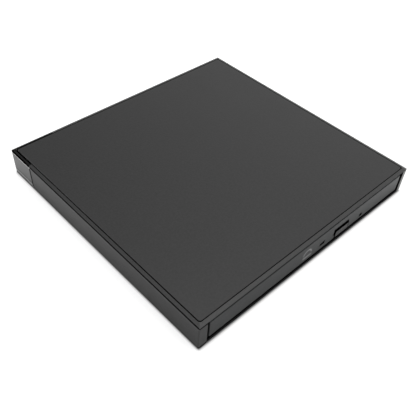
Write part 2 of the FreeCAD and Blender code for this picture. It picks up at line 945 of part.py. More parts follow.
def tray_frame():
    deck = drive_block(tray_half, bezel_back, tray_rear, tray_offset, floor_under, tray_top)
    deck = round_edges(deck, tray_edge_round, lambda e: at_height(e, tray_top))
    well = rod(spindle_x, spindle_y, well_floor_top, tray_top + 1, well_radius)
    small = rod(spindle_x, spindle_y, well_floor_top - small_disc_step, tray_top, small_disc_radius)
    pocket = drive_block(tray_half - tray_wall, bezel_back + tray_wall, tray_rear - tray_wall,
                         tray_offset + tray_wall, floor_under - 1, tray_top - tray_deck)
    pocket = pocket.cut(rod(spindle_x, spindle_y, 0, tray_top, well_radius + well_wall))
    reach = (well_radius + scoop_offset) * math.sqrt(0.5)
    scoop_top = well_floor_top + scoop_rise
    scoop_centres = [(spindle_x - reach, spindle_y - reach), (spindle_x + reach, spindle_y - reach)]
    scoops = [rod(x, y, scoop_top, tray_top + 1, scoop_radius) for x, y in scoop_centres]
    floors = [rod(x, y, floor_under, scoop_top, scoop_radius + scoop_floor_wide) for x, y in scoop_centres]
    floor_limit = drive_block(tray_half - 0.5, bezel_back + 0.5, tray_rear, tray_offset, floor_under,
                              tray_top)
    floors = [f.common(floor_limit) for f in floors]
    deck = join([deck.cut(pocket)] + floors).cut([well, small] + scoops)
    skirt = drive_block(skirt_half, bezel_back, tray_rear, tray_offset, skirt_low, floor_under)
    skirt = skirt.cut(drive_block(skirt_half - skirt_wall, bezel_back + skirt_wall,
                                  tray_rear - skirt_wall, tray_offset + skirt_wall, 0, floor_under))
    shape = join([deck, skirt] + tray_tongues() + tray_bosses())
    cuts = [well, small]
    cuts.append(well_opening(floor_under - 0.5, well_floor_top + 0.5).common(
        rod(spindle_x, spindle_y, 0, tray_top, well_radius - 0.2)))
    cuts += [rod(x, y, 0, floor_under - 0.4, small_hole_radius) for x, y in
             damper_places + board_screw_places + shield_screw_places]
    cuts.append(relief_band(connector_clear))
    cuts.append(lever_gate(lever_high + 0.15))
    cuts.append(bezel_slots(fit_gap))
    seat_y = plunger_back + spring_seat
    cuts.append(rod_along((plunger_x, seat_y, plunger_z), (0, 1, 0), tray_rear,
                          plunger_radius + plunger_collar_wide + spring_clear + fit_gap))
    cuts.append(rod_along((plunger_x, plunger_back - 1.0, plunger_z), (0, 1, 0), spring_seat + 3.0,
                          plunger_tail_radius + fit_gap + fit_gap))
    cuts.append(box(plunger_x - 1.9, plunger_x + 1.9, seat_y, rear, 0, plunger_z))
    return shape.cut(cuts)


def tray_tongues():
    # The ribs along the skirt that the rails carry. The left one stops at the notch.
    ends = {-1: notch_y - tray_offset - tongue_clear, 1: tray_rear - tongue_rear}
    tongues = []
    for side, y1 in ends.items():
        piece = box(drive_x + skirt_half - weld, drive_x + tongue_half, front + tongue_front, y1,
                    tongue_low, tongue_high)
        tongues.append(piece if side > 0 else mirror_x(piece))
    return tongues


def tray_bosses():
    # What hangs from the deck: bosses for the dampers, boards, shield, lever and solenoid, the rests
    # of the front board and the plunger's holder.
    top = tray_top - tray_boss_clear
    made = [rod(x, y, plate_low + plate_thick + damper_high, top, boss_radius) for x, y in damper_places]
    made += [rod(x, y, main_board_z + board_thick, top, 2.0) for x, y in board_screw_places]
    made += [rod(x, y, skirt_low, top, shield_boss_radius) for x, y in shield_screw_places]
    made.append(rod(lever_x, lever_y, lever_high + fit_gap, top, lever_boss_radius))
    made.append(rod(lever_x, lever_y, lever_low - running_fit, lever_high + 2 * fit_gap,
                    lever_pivot_radius))
    made.append(box(solenoid_x - 2.0, solenoid_x + 2.0, solenoid_y - 2.0, solenoid_y + 2.0,
                    floor_under, top))
    for x in (front_board_x0 + 2, front_board_x1 - 2):
        made.append(box(x - 1.0, x + 1.0, front_board_y0, front_board_y1, front_board_top, top))
    made.append(box(plunger_x - holder_half, plunger_x + holder_half, plunger_back, tray_rear - 0.5,
                    plunger_z - 0.4, top))
    return made


def lever_gate(top):
    # The gap in the skirt and shield through which the lock lever meets its pin.
    return box(drive_x + skirt_half - 3, drive_x + pan_half, lock_pin_y - 3.0, lock_pin_y + 8.0, 0, top)


def bezel_slots(gap):
    # The openings through the tray's front wall for the bezel's clips, the button's stem,
    # the lamp window and the emergency pin.
    y0 = bezel_back - 1
    y1 = bezel_back + skirt_wall + 1
    made = [box(drive_x + c - clip_half - gap, drive_x + c + clip_half + gap, y0, y1,
                clip_low - gap, clip_high + gap) for c in clip_centres]
    made.append(box(drive_x + button_left, drive_x + button_right, y0, y1,
                    button_low, button_top + 2 * gap))
    made.append(box(drive_x + lamp_left - gap, drive_x + lamp_right + gap, y0, y1,
                    lamp_low - gap, lamp_high + gap))
    made.append(rod_along((drive_x + pin_hole_x, y0, pin_hole_z), (0, 1, 0), y1 - y0,
                          pin_hole_radius + pin_wall_clear))
    return made[0].fuse(made[1:])


def front_bezel():
    low = drive_low - bezel_drop
    shape = box(bezel_left, bezel_right, bezel_face, bezel_back, low, low + bezel_height)
    shape = round_edges(shape, bezel_round, lambda e: abs(e.BoundBox.YMax - bezel_face) < 1e-6)
    x = drive_x
    slot = front_prism([(x + slot_left_low, low - 1), (x + slot_left_low, slot_shoulder - slot_shoulder_rise),
                        (x + slot_left_high, slot_shoulder), (x + slot_left_high, slot_top),
                        (x + slot_right - slot_corner_wide, slot_top),
                        (x + slot_right, slot_top - slot_corner_high),
                        (x + slot_right, low - 1)], front - 1, bezel_back + 1)
    lamp = box(x + lamp_left - lamp_fit, x + lamp_right + lamp_fit, front - 1, bezel_back + 1,
               lamp_low - lamp_fit, lamp_high + lamp_fit)
    pin_hole = rod_along((x + pin_hole_x, front - 1, pin_hole_z), (0, 1, 0), 8, pin_hole_radius)
    hollows = [box(x + x0, x + x1, bezel_back - hollow_deep, bezel_back + 1, hollow_low, hollow_high)
               for x0, x1 in (hollow_left, hollow_right)]
    clips = [box(x + c - clip_half, x + c + clip_half, bezel_back - clip_root,
                 bezel_back + skirt_wall + clip_hook, clip_low, clip_high) for c in clip_centres]
    return join([shape.cut([slot, lamp, pin_hole] + hollows)] + clips)


def eject_button():
    x = drive_x
    face = front_prism([(x + button_left, button_low), (x + button_left, button_top - button_chamfer),
                        (x + button_left + button_chamfer, button_top), (x + button_right, button_top),
                        (x + button_right, button_low)], bezel_face + button_flush,
                       bezel_face + button_face_thick)
    stem = box(x + button_left + button_stem_inset, x + button_right - button_stem_inset,
               bezel_face + button_face_thick - 0.2, button_tip, button_stem_low, button_stem_high)
    return join([face, stem])


def eject_switch():
    y0 = button_tip + switch_gap
    body = box(switch_x - switch_half, switch_x + switch_half, y0, y0 + switch_deep,
               switch_low, front_board_low)
    return body.cut(box(switch_x - tip_half - running_fit, switch_x + tip_half + running_fit, y0 - 1,
                        y0 + tip_inside + 1.0, tip_low - running_fit, tip_high + running_fit))


def switch_plunger():
    y0 = button_tip
    return box(switch_x - tip_half, switch_x + tip_half, y0, y0 + switch_gap + tip_inside, tip_low, tip_high)


def front_board():
    return box(front_board_x0, front_board_x1, front_board_y0, front_board_y1,
               front_board_low, front_board_top)


def status_lamp():
    x = drive_x + (lamp_left + lamp_right) / 2
    y0 = bezel_back + skirt_wall + 0.45
    return box(x - lamp_half, x + lamp_half, y0, y0 + lamp_deep, lamp_low + 0.6, front_board_low)


def lamp_window():
    x = drive_x
    inner = bezel_back + skirt_wall
    head = box(x + lamp_left, x + lamp_right, bezel_face + lamp_sunk, inner + 0.15, lamp_low, lamp_high)
    flange = box(x + lamp_left - lamp_flange, x + lamp_right + lamp_flange, inner,
                 inner + lamp_flange_thick, lamp_low, lamp_high)
    return join([head, flange])


def tray_shield():
    shape = drive_block(skirt_half, bezel_back + fit_gap, tray_rear, tray_offset, tray_low, skirt_low)
    cuts = [box(ribbon_left - ribbon_side_gap, ribbon_right + ribbon_side_gap,
                ribbon_front - ribbon_fold_gap, rear, 0, case_height)]
    cuts.append(relief_band(case_height))
    cuts += [rod(x, y, 0, case_height, damper_radius + damper_hole_gap) for x, y in damper_places]
    cuts += [rod(x, y, 0, case_height, small_hole_radius) for x, y in shield_screw_places]
    cuts.append(in_unit(box(stepper_inner - 0.5, screw_inner + 0.5, screw_offset - stepper_radius - 0.5,
                            screw_offset + stepper_radius + 0.5, 0, case_height)))
    cuts.append(lever_gate(case_height))
    cuts.append(rod_along((plunger_x, plunger_back + spring_seat, tray_low), (0, 1, 0), tray_rear, 1.0))
    return cut_all(shape, cuts)


def small_screws(places, head_thick, seat, head_radius):
    # Screws driven up into the tray's bosses from a seat at the given height.
    cross_size = (small_cross_half, small_cross_wide, small_cross_deep)
    return group(screw_at(x, y, seat - head_thick, seat, floor_under - 0.4, head_radius,
                          small_shank_radius, cross_size) for x, y in places)


def shield_screws():
    return small_screws(shield_screw_places, shield_head_thick, tray_low, shield_head_radius)


def board_screws():
    return small_screws(board_screw_places, board_head_thick, main_board_z, board_head_radius)


def main_board():
    shape = box(board_x0, board_x1, board_y0, board_y1, main_board_z, main_board_z + board_thick)
    shape = shape.common(unit_limits())
    clear = [rod(x, y, 0, case_height, boss_radius + boss_clear) for x, y in damper_places]
    clear += [rod(x, y, 0, case_height, shield_boss_radius + boss_clear) for x, y in shield_screw_places]
    clear += [rod(x, y, 0, case_height, small_hole_radius) for x, y in board_screw_places]
    return shape.cut(clear)


def board_chips():
    # Width, depth, height, and place of each part on the underside of the main board.
    mid = (board_x0 + board_x1) / 2
    chips = [(11.0, 11.0, 1.1, mid - 3.0, board_y0 + 18.0), (7.0, 8.0, 1.0, mid + 9.0, board_y0 + 33.0),
             (6.0, 5.0, 1.0, mid - 9.0, board_y0 + 36.0), (4.0, 3.0, 0.9, mid + 9.0, board_y0 + 12.0)]
    made = [box(x - w / 2, x + w / 2, y - d / 2, y + d / 2, main_board_z - h, main_board_z)
            for w, d, h, x, y in chips]
    for step in range(6):
        x = board_x0 + 6.0 + 2.6 * step
        made.append(box(x - 0.6, x + 0.6, board_y0 + 6.0, board_y0 + 8.0, main_board_z - 0.7, main_board_z))
    return group(made)


def ribbon_socket_tray():
    y1 = connector_front - ribbon_set_back
    return box(ribbon_left - ribbon_socket_side, min(ribbon_right + ribbon_socket_side, board_x1),
               y1 - ribbon_socket_deep, y1, ribbon_high - ribbon_socket_under, main_board_z)


def ribbon_socket_fixed():
    return box(ribbon_left - ribbon_socket_side, ribbon_right + ribbon_socket_side, connector_front,
               connector_front + ribbon_socket_deep, pan_floor_top, pan_floor_top + ribbon_socket_high)


def ribbon_cable():
    # Two flat runs joined by one fold, drawn as a strip in the YZ plane.
    low_end = connector_front
    fold_z = (ribbon_low + ribbon_high + ribbon_thick) / 2
    outer_radius = (ribbon_high - ribbon_low + ribbon_thick) / 2
    inner_radius = outer_radius - ribbon_thick

    def point(y, z):
        return Vector(ribbon_left, y, z)

    def fold(radius):
        return Part.Arc(point(ribbon_front, fold_z + radius), point(ribbon_front - radius, fold_z),
                        point(ribbon_front, fold_z - radius)).toShape()

    def end_of_run(y, side):
        line = [point(ribbon_front, fold_z + side * inner_radius), point(y, fold_z + side * inner_radius),
                point(y, fold_z + side * outer_radius), point(ribbon_front, fold_z + side * outer_radius)]
        return Part.makePolygon(line).Edges

    edges = [fold(outer_radius), fold(inner_radius)] + end_of_run(low_end, -1) + end_of_run(ribbon_end, 1)
    loop = Part.Wire(Part.__sortEdges__(edges))
    return Part.Face(loop).extrude(Vector(ribbon_wide, 0, 0))


def connector_board():
    y0 = connector_front + ribbon_socket_deep
    plate = box(notch_x - 1.0, ribbon_right + 2.0, y0, drive_rear - sheet - fit_gap,
                pan_floor_top, pan_floor_top + board_thick)
    return plate.cut(corner_notch(sheet + fit_gap, 0, case_height))


def drive_connector():
    a = connector_start
    low = pan_floor_top + board_thick
    return along_notch(box(a, a + connector_long, -3.9, flange_thick, low, bridge_board_z - running_fit))


def bridge_socket():
    a = connector_start
    low = floor_top + 1.6
    return along_notch(box(a - 1.0, a + connector_long + 1.0, flange_thick, flange_thick + 4.0,
                           low, bridge_board_z))


def bridge_board():
    x0 = bay_wall_x1 + 0.2
    y1 = rear - wall - 0.3
    tip = bridge_posts[1][0] + 3.0
    block = box(x0, tip, bay_wall_y0, y1, bridge_board_z, bridge_board_z + bridge_board_thick)
    drive_side = drive_block(case_width, front, drive_rear + flange_thick + 0.4, -flange_thick - 0.4,
                             0, case_height)
    pins = [rod(x, y, 0, case_height, 0.8) for x, y in bridge_posts]
    return block.cut([drive_side] + pins)


def bridge_chips():
    z = bridge_board_z + bridge_board_thick
    x = bay_wall_x1 + socket_long + 3.5
    y = rear - wall - 4.5
    made = [box(x, x + 5.0, y - 2.5, y + 2.5, z, z + 1.0)]
    made += [box(x + 7.0 + 2.4 * i, x + 8.2 + 2.4 * i, y + 0.4, y + 2.4, z, z + 0.8) for i in range(3)]
    return group(made)


def usb_socket():
    x0 = bay_wall_x0 - socket_proud
    z0 = bridge_board_z + bridge_board_thick
    half = socket_wide / 2
    shell = box(x0, x0 + socket_long, socket_y - half, socket_y + half, z0, z0 + socket_high)
    inside = box(x0 - 1, x0 + socket_long - socket_back, socket_y - half + socket_sheet,
                 socket_y + half - socket_sheet, z0 + socket_sheet, z0 + socket_high - socket_sheet)
    shell = round_edges(shell, socket_round, lambda e: abs(e.BoundBox.XLength - socket_long) < 1e-6)
    return shell.cut(inside)


def usb_tongue():
    x0 = bay_wall_x0 - 0.1
    z0 = bridge_board_z + bridge_board_thick + socket_high / 2
    half = socket_wide / 2 - tongue_side_gap
    x1 = bay_wall_x0 - socket_proud + socket_long - socket_back
    tongue = box(x0, x1, socket_y - half, socket_y + half, z0 - tongue_half_thick, z0 + tongue_half_thick)
    root = box(x1 - 1.0, x1, socket_y - half - 0.9, socket_y + half + 0.9, z0 - 1.5, z0 + 1.5)
    return join([tongue, root])


def unit_limits():
    # The space inside the tray's skirt that the traverse unit and the main board may fill.
    reach = skirt_half - skirt_wall - unit_wall_gap
    return drive_block(reach, bezel_back + skirt_wall + unit_wall_gap,
                       tray_rear - skirt_wall - unit_wall_gap,
                       tray_offset + skirt_wall + unit_wall_gap, 0, case_height)


def mechanism_plate():
    z1 = plate_low + plate_thick
    shape = in_unit(round_box(plate_inner, plate_outer, plate_screw_side, plate_side, plate_low, z1,
                              plate_round))
    for x, y in damper_places:
        shape = shape.fuse(rod(x, y, plate_low, z1, ear_radius))
    clamps = []
    for x0 in (rod_inner, rod_outer - clamp_long):
        for y in (-rod_offset, rod_offset):
            clamps.append(box(x0, x0 + clamp_long, y - clamp_side, y + clamp_side, plate_low,
                              rod_z + clamp_over))
    clamps.append(box(screw_outer - screw_bearing_thick, screw_outer + 0.2,
                      screw_offset - screw_bearing_side, screw_offset + screw_bearing_side,
                      plate_low, rod_z + screw_bearing_over))
    raised = join([in_unit(c) for c in clamps])
    shape = join([shape, damper_link(z1), raised]).common(unit_limits())
    cuts = [box(left, ribbon_right + 0.8, front, rear, 0, case_height)]
    cuts += [in_unit(round_box(window_inner, plate_outer - window_end, -window_half, window_half, 0,
                               case_height, window_round))]
    cuts.append(in_unit(box(stepper_inner - stepper_gap, screw_inner + stepper_gap,
                            screw_offset - stepper_radius - 0.5, screw_offset + stepper_radius + 0.5,
                            0, case_height)))
    for y in (-rod_offset, rod_offset):
        cuts.append(in_unit(rod_along((rod_inner - 1, y, rod_z), (1, 0, 0), rod_outer + 2, rod_radius)))
    cuts.append(in_unit(rod_along((screw_inner, screw_offset, rod_z), (1, 0, 0), screw_outer,
                                  screw_radius * journal_share + running_fit)))
    cuts += [rod(x, y, 0, case_height, damper_waist) for x, y in damper_places]
    return shape.cut(cuts)


def damper_link(z1):
    # The arm of the plate from the spindle to the damper beside it.
    arm = box(0.0, link_reach, -link_half, link_half, plate_low, z1)
    arm.rotate(Vector(0, 0, 0), Vector(0, 0, 1), math.degrees(math.atan2(damper_dy, damper_dx)))
    arm.translate(Vector(spindle_x, spindle_y, 0))
    return arm


def dampers():
    made = []
    for x, y in damper_places:
        z0 = plate_low + plate_thick
        shape = rod(x, y, z0, z0 + damper_high, damper_radius).fuse(rod(x, y, plate_low, z0, damper_waist))
        made.append(shape.cut(rod(x, y, 0, case_height, small_hole_radius)))
    return group(made)


def mechanism_screws():
    return small_screws(damper_places, damper_head_thick, plate_low, damper_head_radius)


def guide_rods():
    return group(in_unit(rod_along((rod_inner, y, rod_z), (1, 0, 0), rod_outer - rod_inner, rod_radius))
                 for y in (-rod_offset, rod_offset))


def mechanism_cover():
    z0 = floor_under - cover_sheet
    side = well_mouth_side
    sheet_part = in_unit(round_box(well_mouth_inner - cover_lap_inner, well_mouth_outer + cover_lap_outer,
                                   -side - cover_lap_side, side + cover_lap, z0, floor_under,
                                   well_mouth_round))
    round_part = rod(spindle_x, spindle_y, z0, floor_under, table_radius + mouth_ring + cover_lap)
    shape = join([sheet_part, round_part]).common(unit_limits())
    cuts = [rod(spindle_x, spindle_y, 0, case_height, table_radius + cover_table_gap)]
    cuts.append(in_unit(round_box(cover_slot_inner, cover_slot_outer, -cover_slot_half, cover_slot_half,
                                  0, case_height, cover_slot_round)))
    cuts += [rod(x, y, 0, case_height, boss_radius + boss_clear) for x, y in damper_places]
    cuts.append(box(plunger_x - holder_half - cover_holder_gap,
                    plunger_x + holder_half + cover_holder_gap, plunger_back - cover_holder_gap,
                    rear, 0, case_height))
    return shape.cut(cuts)


def spindle_motor():
    z0 = plate_low + plate_thick
    under_lid = rotor_high - rotor_wall
    base = rod(spindle_x, spindle_y, z0, z0 + motor_thick, motor_radius)
    bearing = rod(spindle_x, spindle_y, z0, under_lid - bearing_gap, bearing_radius)
    coils = []
    for i in range(coil_count):
        a = 2 * math.pi * i / coil_count
        x = spindle_x + coil_circle * math.cos(a)
        y = spindle_y + coil_circle * math.sin(a)
        coils.append(rod(x, y, z0 + motor_thick - 0.1, under_lid - coil_gap, coil_radius))
    shape = join([base, bearing] + coils)
    return shape.cut(rod(spindle_x, spindle_y, z0 + 0.2, case_height, shaft_radius + running_fit))


def turntable_hub():
    x, y = spindle_x, spindle_y
    cup = tube(x, y, rotor_low, rotor_high - rotor_wall, rotor_radius, rotor_radius - rotor_wall)
    lid = rod(x, y, rotor_high - rotor_wall, rotor_high, rotor_radius)
    table = rod(x, y, rotor_high, table_top, table_radius)
    nose = rod(x, y, table_top, hub_top, hub_radius)
    nose = chamfer_edges(nose, hub_chamfer, lambda e: at_height(e, hub_top))
    shaft = rod(x, y, plate_low + plate_thick + shaft_gap, rotor_high, shaft_radius)
    shape = join([cup, lid, table, nose, shaft])
    cuts = [hub_claw(i, hub_radius + 1, claw_gap) for i in range(claw_count)]
    cuts.append(rod(x, y, hub_top - hub_dish_deep, hub_top + 1, hub_dish_radius))
    return shape.cut(cuts)


def hub_claw(index, reach, grow):
    # One claw in the hub's nose, or with a growth its slot.
    claw = box(claw_root, reach, -claw_half - grow, claw_half + grow,
               table_top + claw_low - grow, table_top + claw_high + grow)
    claw.rotate(Vector(0, 0, 0), Vector(0, 0, 1), 360.0 / claw_count * index + claw_turn)
    claw.translate(Vector(spindle_x, spindle_y, 0))
    return claw


def hub_claws():
    return group(hub_claw(i, hub_radius - running_fit, 0) for i in range(claw_count))


def turntable_ring():
    return tube(spindle_x, spindle_y, table_top, table_top + ring_thick, ring_radius, ring_inner)


def pickup_sled():
    c = sled_start
    body = box(c - sled_half_long, c + sled_half_long, -sled_half_wide, sled_half_wide,
               sled_low, sled_top)
    belly_half = window_half - belly_inset
    belly = box(c - sled_half_long + belly_inset, c + sled_half_long - belly_inset, -belly_half,
                belly_half, sled_belly, sled_low + weld)
    eyes = []
    reach = rod_offset + eye_wide
    eye_top = sled_top - eye_drop
    for x0 in (c - sled_half_long, c):
        eyes.append(box(x0, x0 + eye_long, -reach, weld - sled_half_wide, sled_low, eye_top))
    eyes.append(box(c - eye_long / 2, c + eye_long / 2, sled_half_wide - weld, reach, sled_low, eye_top))
    shape = join([body, belly] + eyes)
    gap = holder_gap
    cavity = box(c - holder_half_long - gap, c + holder_half_long + gap, -holder_half_wide - gap,
                 holder_half_wide + gap, holder_low - lens_travel - gap, case_height)
    cuts = [cavity]
    for y in (-rod_offset, rod_offset):
        cuts.append(rod_along((0, y, rod_z), (1, 0, 0), rod_outer, rod_radius + running_fit))
    return in_unit(shape.cut(cuts))


def screw_follower():
    y1 = -rod_offset - eye_wide
    y0 = screw_offset + thread_radius + follower_gap
    return in_unit(box(sled_start, sled_start + eye_long, y0, y1, rod_z - follower_half,
                       rod_z + follower_half))


def lens_holder():
    c = sled_start
    body = box(c - holder_half_long, c + holder_half_long, -holder_half_wide, holder_half_wide,
               holder_low, sled_top)
    ring = rod(c, 0, sled_top - lens_ring_high, sled_top + lens_ring_high, lens_radius + lens_ring_wide)
    shape = join([body, ring])
    return in_unit(shape.cut(rod(c, 0, sled_top - lens_seat, case_height, lens_radius)))


def objective_lens():
    c = sled_start
    edge = lens_top - lens_rise
    base = rod(c, 0, sled_top - lens_seat, edge, lens_radius)
    radius = (lens_radius ** 2 + lens_rise ** 2) / (2 * lens_rise)
    ball = Part.makeSphere(radius, Vector(c, 0, lens_top - radius))
    cap = ball.common(rod(c, 0, edge, lens_top + 1, lens_radius))
    return in_unit(join([base, cap]))


def lead_screw():
    journal = screw_radius * journal_share
    core = rod_along((screw_inner, screw_offset, rod_z), (1, 0, 0),
                     screw_outer - screw_inner - screw_bearing_thick, screw_radius)
    tip = rod_along((screw_outer - screw_bearing_thick - 0.1, screw_offset, rod_z), (1, 0, 0),
                    screw_bearing_thick + 0.1, journal)
    shaft = rod_along((screw_inner - 2.0, screw_offset, rod_z), (1, 0, 0), 2.1, journal)
    rings = []
    start = screw_inner + thread_start
    turns = int((screw_outer - thread_end - start) / thread_pitch)
    for i in range(turns):
        x = start + i * thread_pitch
        rings.append(rod_along((x, screw_offset, rod_z), (1, 0, 0), thread_wide, thread_radius))
    return in_unit(join([core, tip, shaft] + rings))


def stepper_motor():
    x0 = stepper_inner
    body = rod_along((x0, screw_offset, rod_z), (1, 0, 0), screw_inner - 0.2 - x0, stepper_radius)
    bore = rod_along((screw_inner - 2.4, screw_offset, rod_z), (1, 0, 0), 4,
                     screw_radius * journal_share + running_fit)
    collar = rod_along((x0 + 3.5, screw_offset, rod_z), (1, 0, 0), 4.0, stepper_radius + 0.05)
    return in_unit(join([body, collar]).cut(bore))


def lock_lever():
    x, y = lever_x, lever_y
    hub = rod(x, y, lever_low, lever_high, lever_hub_radius)
    tip_x = drive_x + skirt_half - lever_tip_gap
    hook_y = lock_pin_y + lever_hook_low
    bend_y = lock_pin_y + lever_hook_high
    arm = prism([(x - lever_arm_half, y), (x + lever_arm_half, y), (tip_x - lever_tip_slope, bend_y),
                 (tip_x, hook_y), (tip_x - lever_tip_wide, hook_y), (tip_x - 2 * lever_tip_wide, bend_y)],
                lever_low, lever_high)
    end_x = drive_x + pin_hole_x
    end_y = bezel_back + skirt_wall + 2.2
    release = prism([(x - 1.0, y - 1.6), (x + 0.8, y + 1.2), (end_x, end_y + 2.4), (end_x - 1.6, end_y),
                     (end_x + 1.2, end_y - 0.2)], lever_low, lever_high)
    tab = box(end_x - 1.4, end_x + 1.2, end_y - 0.4, end_y + 0.4, lever_low, pin_hole_z + 0.7)
    shape = join([hub, arm, release, tab])
    return shape.cut(rod(x, y, 0, case_height, lever_pivot_radius + running_fit))


def lock_solenoid():
    x, y = solenoid_x, solenoid_y
    low = lever_high + solenoid_drop
    frame = box(x - solenoid_half_long, x + solenoid_half_long, y - solenoid_half_wide,
                y + solenoid_half_wide, low, floor_under)
    x1 = x + solenoid_half_long
    core = box(x1 - 0.1, x1 - 0.1 + core_long, y - core_half, y + core_half, low + 0.8, low + 2.4)
    return join([frame, core])


def eject_plunger():
    head_y = plunger_tip - plunger_head
    head = rod_along((plunger_x, head_y, plunger_z), (0, 1, 0), plunger_head, plunger_radius)
    tail_y = plunger_back - 0.2
    tail = rod_along((plunger_x, tail_y, plunger_z), (0, 1, 0), head_y - tail_y + 0.4, plunger_tail_radius)
    collar = rod_along((plunger_x, head_y - plunger_collar + 0.1, plunger_z), (0, 1, 0), plunger_collar,
                       plunger_radius + plunger_collar_wide)
    return join([head, tail, collar])


def eject_spring():
    y0 = plunger_back + spring_seat + fit_gap
    y1 = plunger_tip - plunger_head - plunger_collar + 0.1 - fit_gap
    span = y1 - y0 - 2 * spring_wire
    turns = round(span / spring_pitch)
    radius = plunger_radius + spring_clear
    path = Part.makeHelix(span / turns, span, radius)
    start = Part.Circle(Vector(radius, 0, 0), Vector(0, 1, span / turns / (2 * math.pi * radius)),
                        spring_wire)
    coil = Part.Wire(path).makePipeShell([Part.Wire(start.toShape())], True, True)
    coil.rotate(Vector(0, 0, 0), Vector(1, 0, 0), -90)
    coil.translate(Vector(plunger_x, y0 + spring_wire, plunger_z))
    return coil


pieces = {
    "lower_case": lower_case,
    "top_cover": top_cover,
    "top_panel": top_panel,
    "corner_cover": corner_cover,
    "corner_trim": corner_trim,
    "corner_hinge_pin": corner_hinge_pin,
    "rubber_feet": rubber_feet,
    "case_screws": case_screws,
    "drive_mount_screws": drive_mount_screws,
    "drive_base_pan": drive_base_pan,
    "drive_top_plate": drive_top_plate,
    "guide_left": guide_left,
    "guide_right": guide_right,
    "rail_left": rail_left,
    "rail_right": rail_right,
    "lock_pin": lock_pin,
    "bridge_board": bridge_board,
    "bridge_chips": bridge_chips,
    "bridge_socket": bridge_socket,
    "usb_socket": usb_socket,
    "usb_tongue": usb_tongue,
    "connector_board": connector_board,
    "drive_connector": drive_connector,
    "ribbon_socket_fixed": ribbon_socket_fixed,
    "ribbon_cable": ribbon_cable,
    "tray_frame": tray_frame,
    "front_bezel": front_bezel,
    "lamp_window": lamp_window,
    "status_lamp": status_lamp,
    "front_board": front_board,
    "eject_switch": eject_switch,
    "switch_plunger": switch_plunger,
    "eject_button": eject_button,
    "main_board": main_board,
    "board_chips": board_chips,
    "board_screws": board_screws,
    "ribbon_socket_tray": ribbon_socket_tray,
    "tray_shield": tray_shield,
    "shield_screws": shield_screws,
    "mechanism_plate": mechanism_plate,
    "dampers": dampers,
    "mechanism_screws": mechanism_screws,
    "mechanism_cover": mechanism_cover,
    "guide_rods": guide_rods,
    "spindle_motor": spindle_motor,
    "turntable_hub": turntable_hub,
    "turntable_ring": turntable_ring,
    "hub_claws": hub_claws,
    "pickup_sled": pickup_sled,
    "screw_follower": screw_follower,
    "lens_holder": lens_holder,
    "objective_lens": objective_lens,
    "lead_screw": lead_screw,
    "stepper_motor": stepper_motor,
    "lock_lever": lock_lever,
    "lock_solenoid": lock_solenoid,
    "eject_plunger": eject_plunger,
    "eject_spring": eject_spring,
}

for node, make in pieces.items():
    save(node, make())
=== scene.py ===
import json
import math

import bpy
import numpy as np
from mathutils import Matrix, Vector


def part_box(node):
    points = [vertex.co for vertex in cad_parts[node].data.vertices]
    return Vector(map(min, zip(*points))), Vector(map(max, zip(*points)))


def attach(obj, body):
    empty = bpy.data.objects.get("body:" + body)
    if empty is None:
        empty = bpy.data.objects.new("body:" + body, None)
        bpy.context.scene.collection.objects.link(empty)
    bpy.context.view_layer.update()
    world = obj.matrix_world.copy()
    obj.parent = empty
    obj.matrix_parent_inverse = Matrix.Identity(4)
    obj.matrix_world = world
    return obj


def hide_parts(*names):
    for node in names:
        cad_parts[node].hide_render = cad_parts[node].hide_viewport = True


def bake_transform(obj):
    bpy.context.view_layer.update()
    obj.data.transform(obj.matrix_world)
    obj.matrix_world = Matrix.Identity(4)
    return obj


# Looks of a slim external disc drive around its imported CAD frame. The scene is in metres. Sizes and
# places in the dictionaries are in mm, unless a note beside them says metres.

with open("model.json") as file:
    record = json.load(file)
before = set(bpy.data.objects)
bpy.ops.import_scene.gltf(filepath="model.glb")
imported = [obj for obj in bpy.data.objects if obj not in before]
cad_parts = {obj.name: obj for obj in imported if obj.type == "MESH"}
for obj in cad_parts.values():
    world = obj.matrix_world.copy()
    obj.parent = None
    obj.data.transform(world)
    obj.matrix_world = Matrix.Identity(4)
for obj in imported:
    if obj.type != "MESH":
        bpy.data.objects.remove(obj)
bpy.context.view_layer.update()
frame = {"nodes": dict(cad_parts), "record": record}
mm = 0.001
print("frame loaded:", len(frame["nodes"]), "nodes")


def grey(value, tint=(1.0, 1.0, 1.0)):
    # A screen grey from 0 to 255 as a linear colour, by the sRGB curve.
    share = value / 255
    linear = share / 12.92 if share <= 0.04045 else ((share + 0.055) / 1.055) ** 2.4
    return (linear * tint[0], linear * tint[1], linear * tint[2], 1.0)


def addNode(tree, kind, **settings):
    node = tree.nodes.new(kind)
    for name, value in settings.items():
        setattr(node, name, value)
    return node


def feed(tree, value, socket):
    # Links an output to the socket, or sets a plain value on it.
    if isinstance(value, bpy.types.NodeSocket):
        tree.links.new(value, socket)
    elif value is not None:
        socket.default_value = value


def mathNode(tree, operation, a, b=None, clamp=False):
    node = addNode(tree, "ShaderNodeMath", operation=operation, use_clamp=clamp)
    feed(tree, a, node.inputs[0])
    feed(tree, b, node.inputs[1])
    return node.outputs[0]


def vectorNode(tree, operation, a, b=None):
    # Gives a vector, or a number where the operation is LENGTH. SCALE takes a number as b.
    node = addNode(tree, "ShaderNodeVectorMath", operation=operation)
    feed(tree, a, node.inputs[0])
    feed(tree, b, node.inputs["Scale" if operation == "SCALE" else 1])
    return node.outputs["Value" if operation == "LENGTH" else "Vector"]


def mixNode(tree, factor, a, b):
    mix = addNode(tree, "ShaderNodeMix", data_type="RGBA")
    for name, value in (("Factor", factor), ("A", a), ("B", b)):
        feed(tree, value, mix.inputs[name])
    return mix.outputs["Result"]


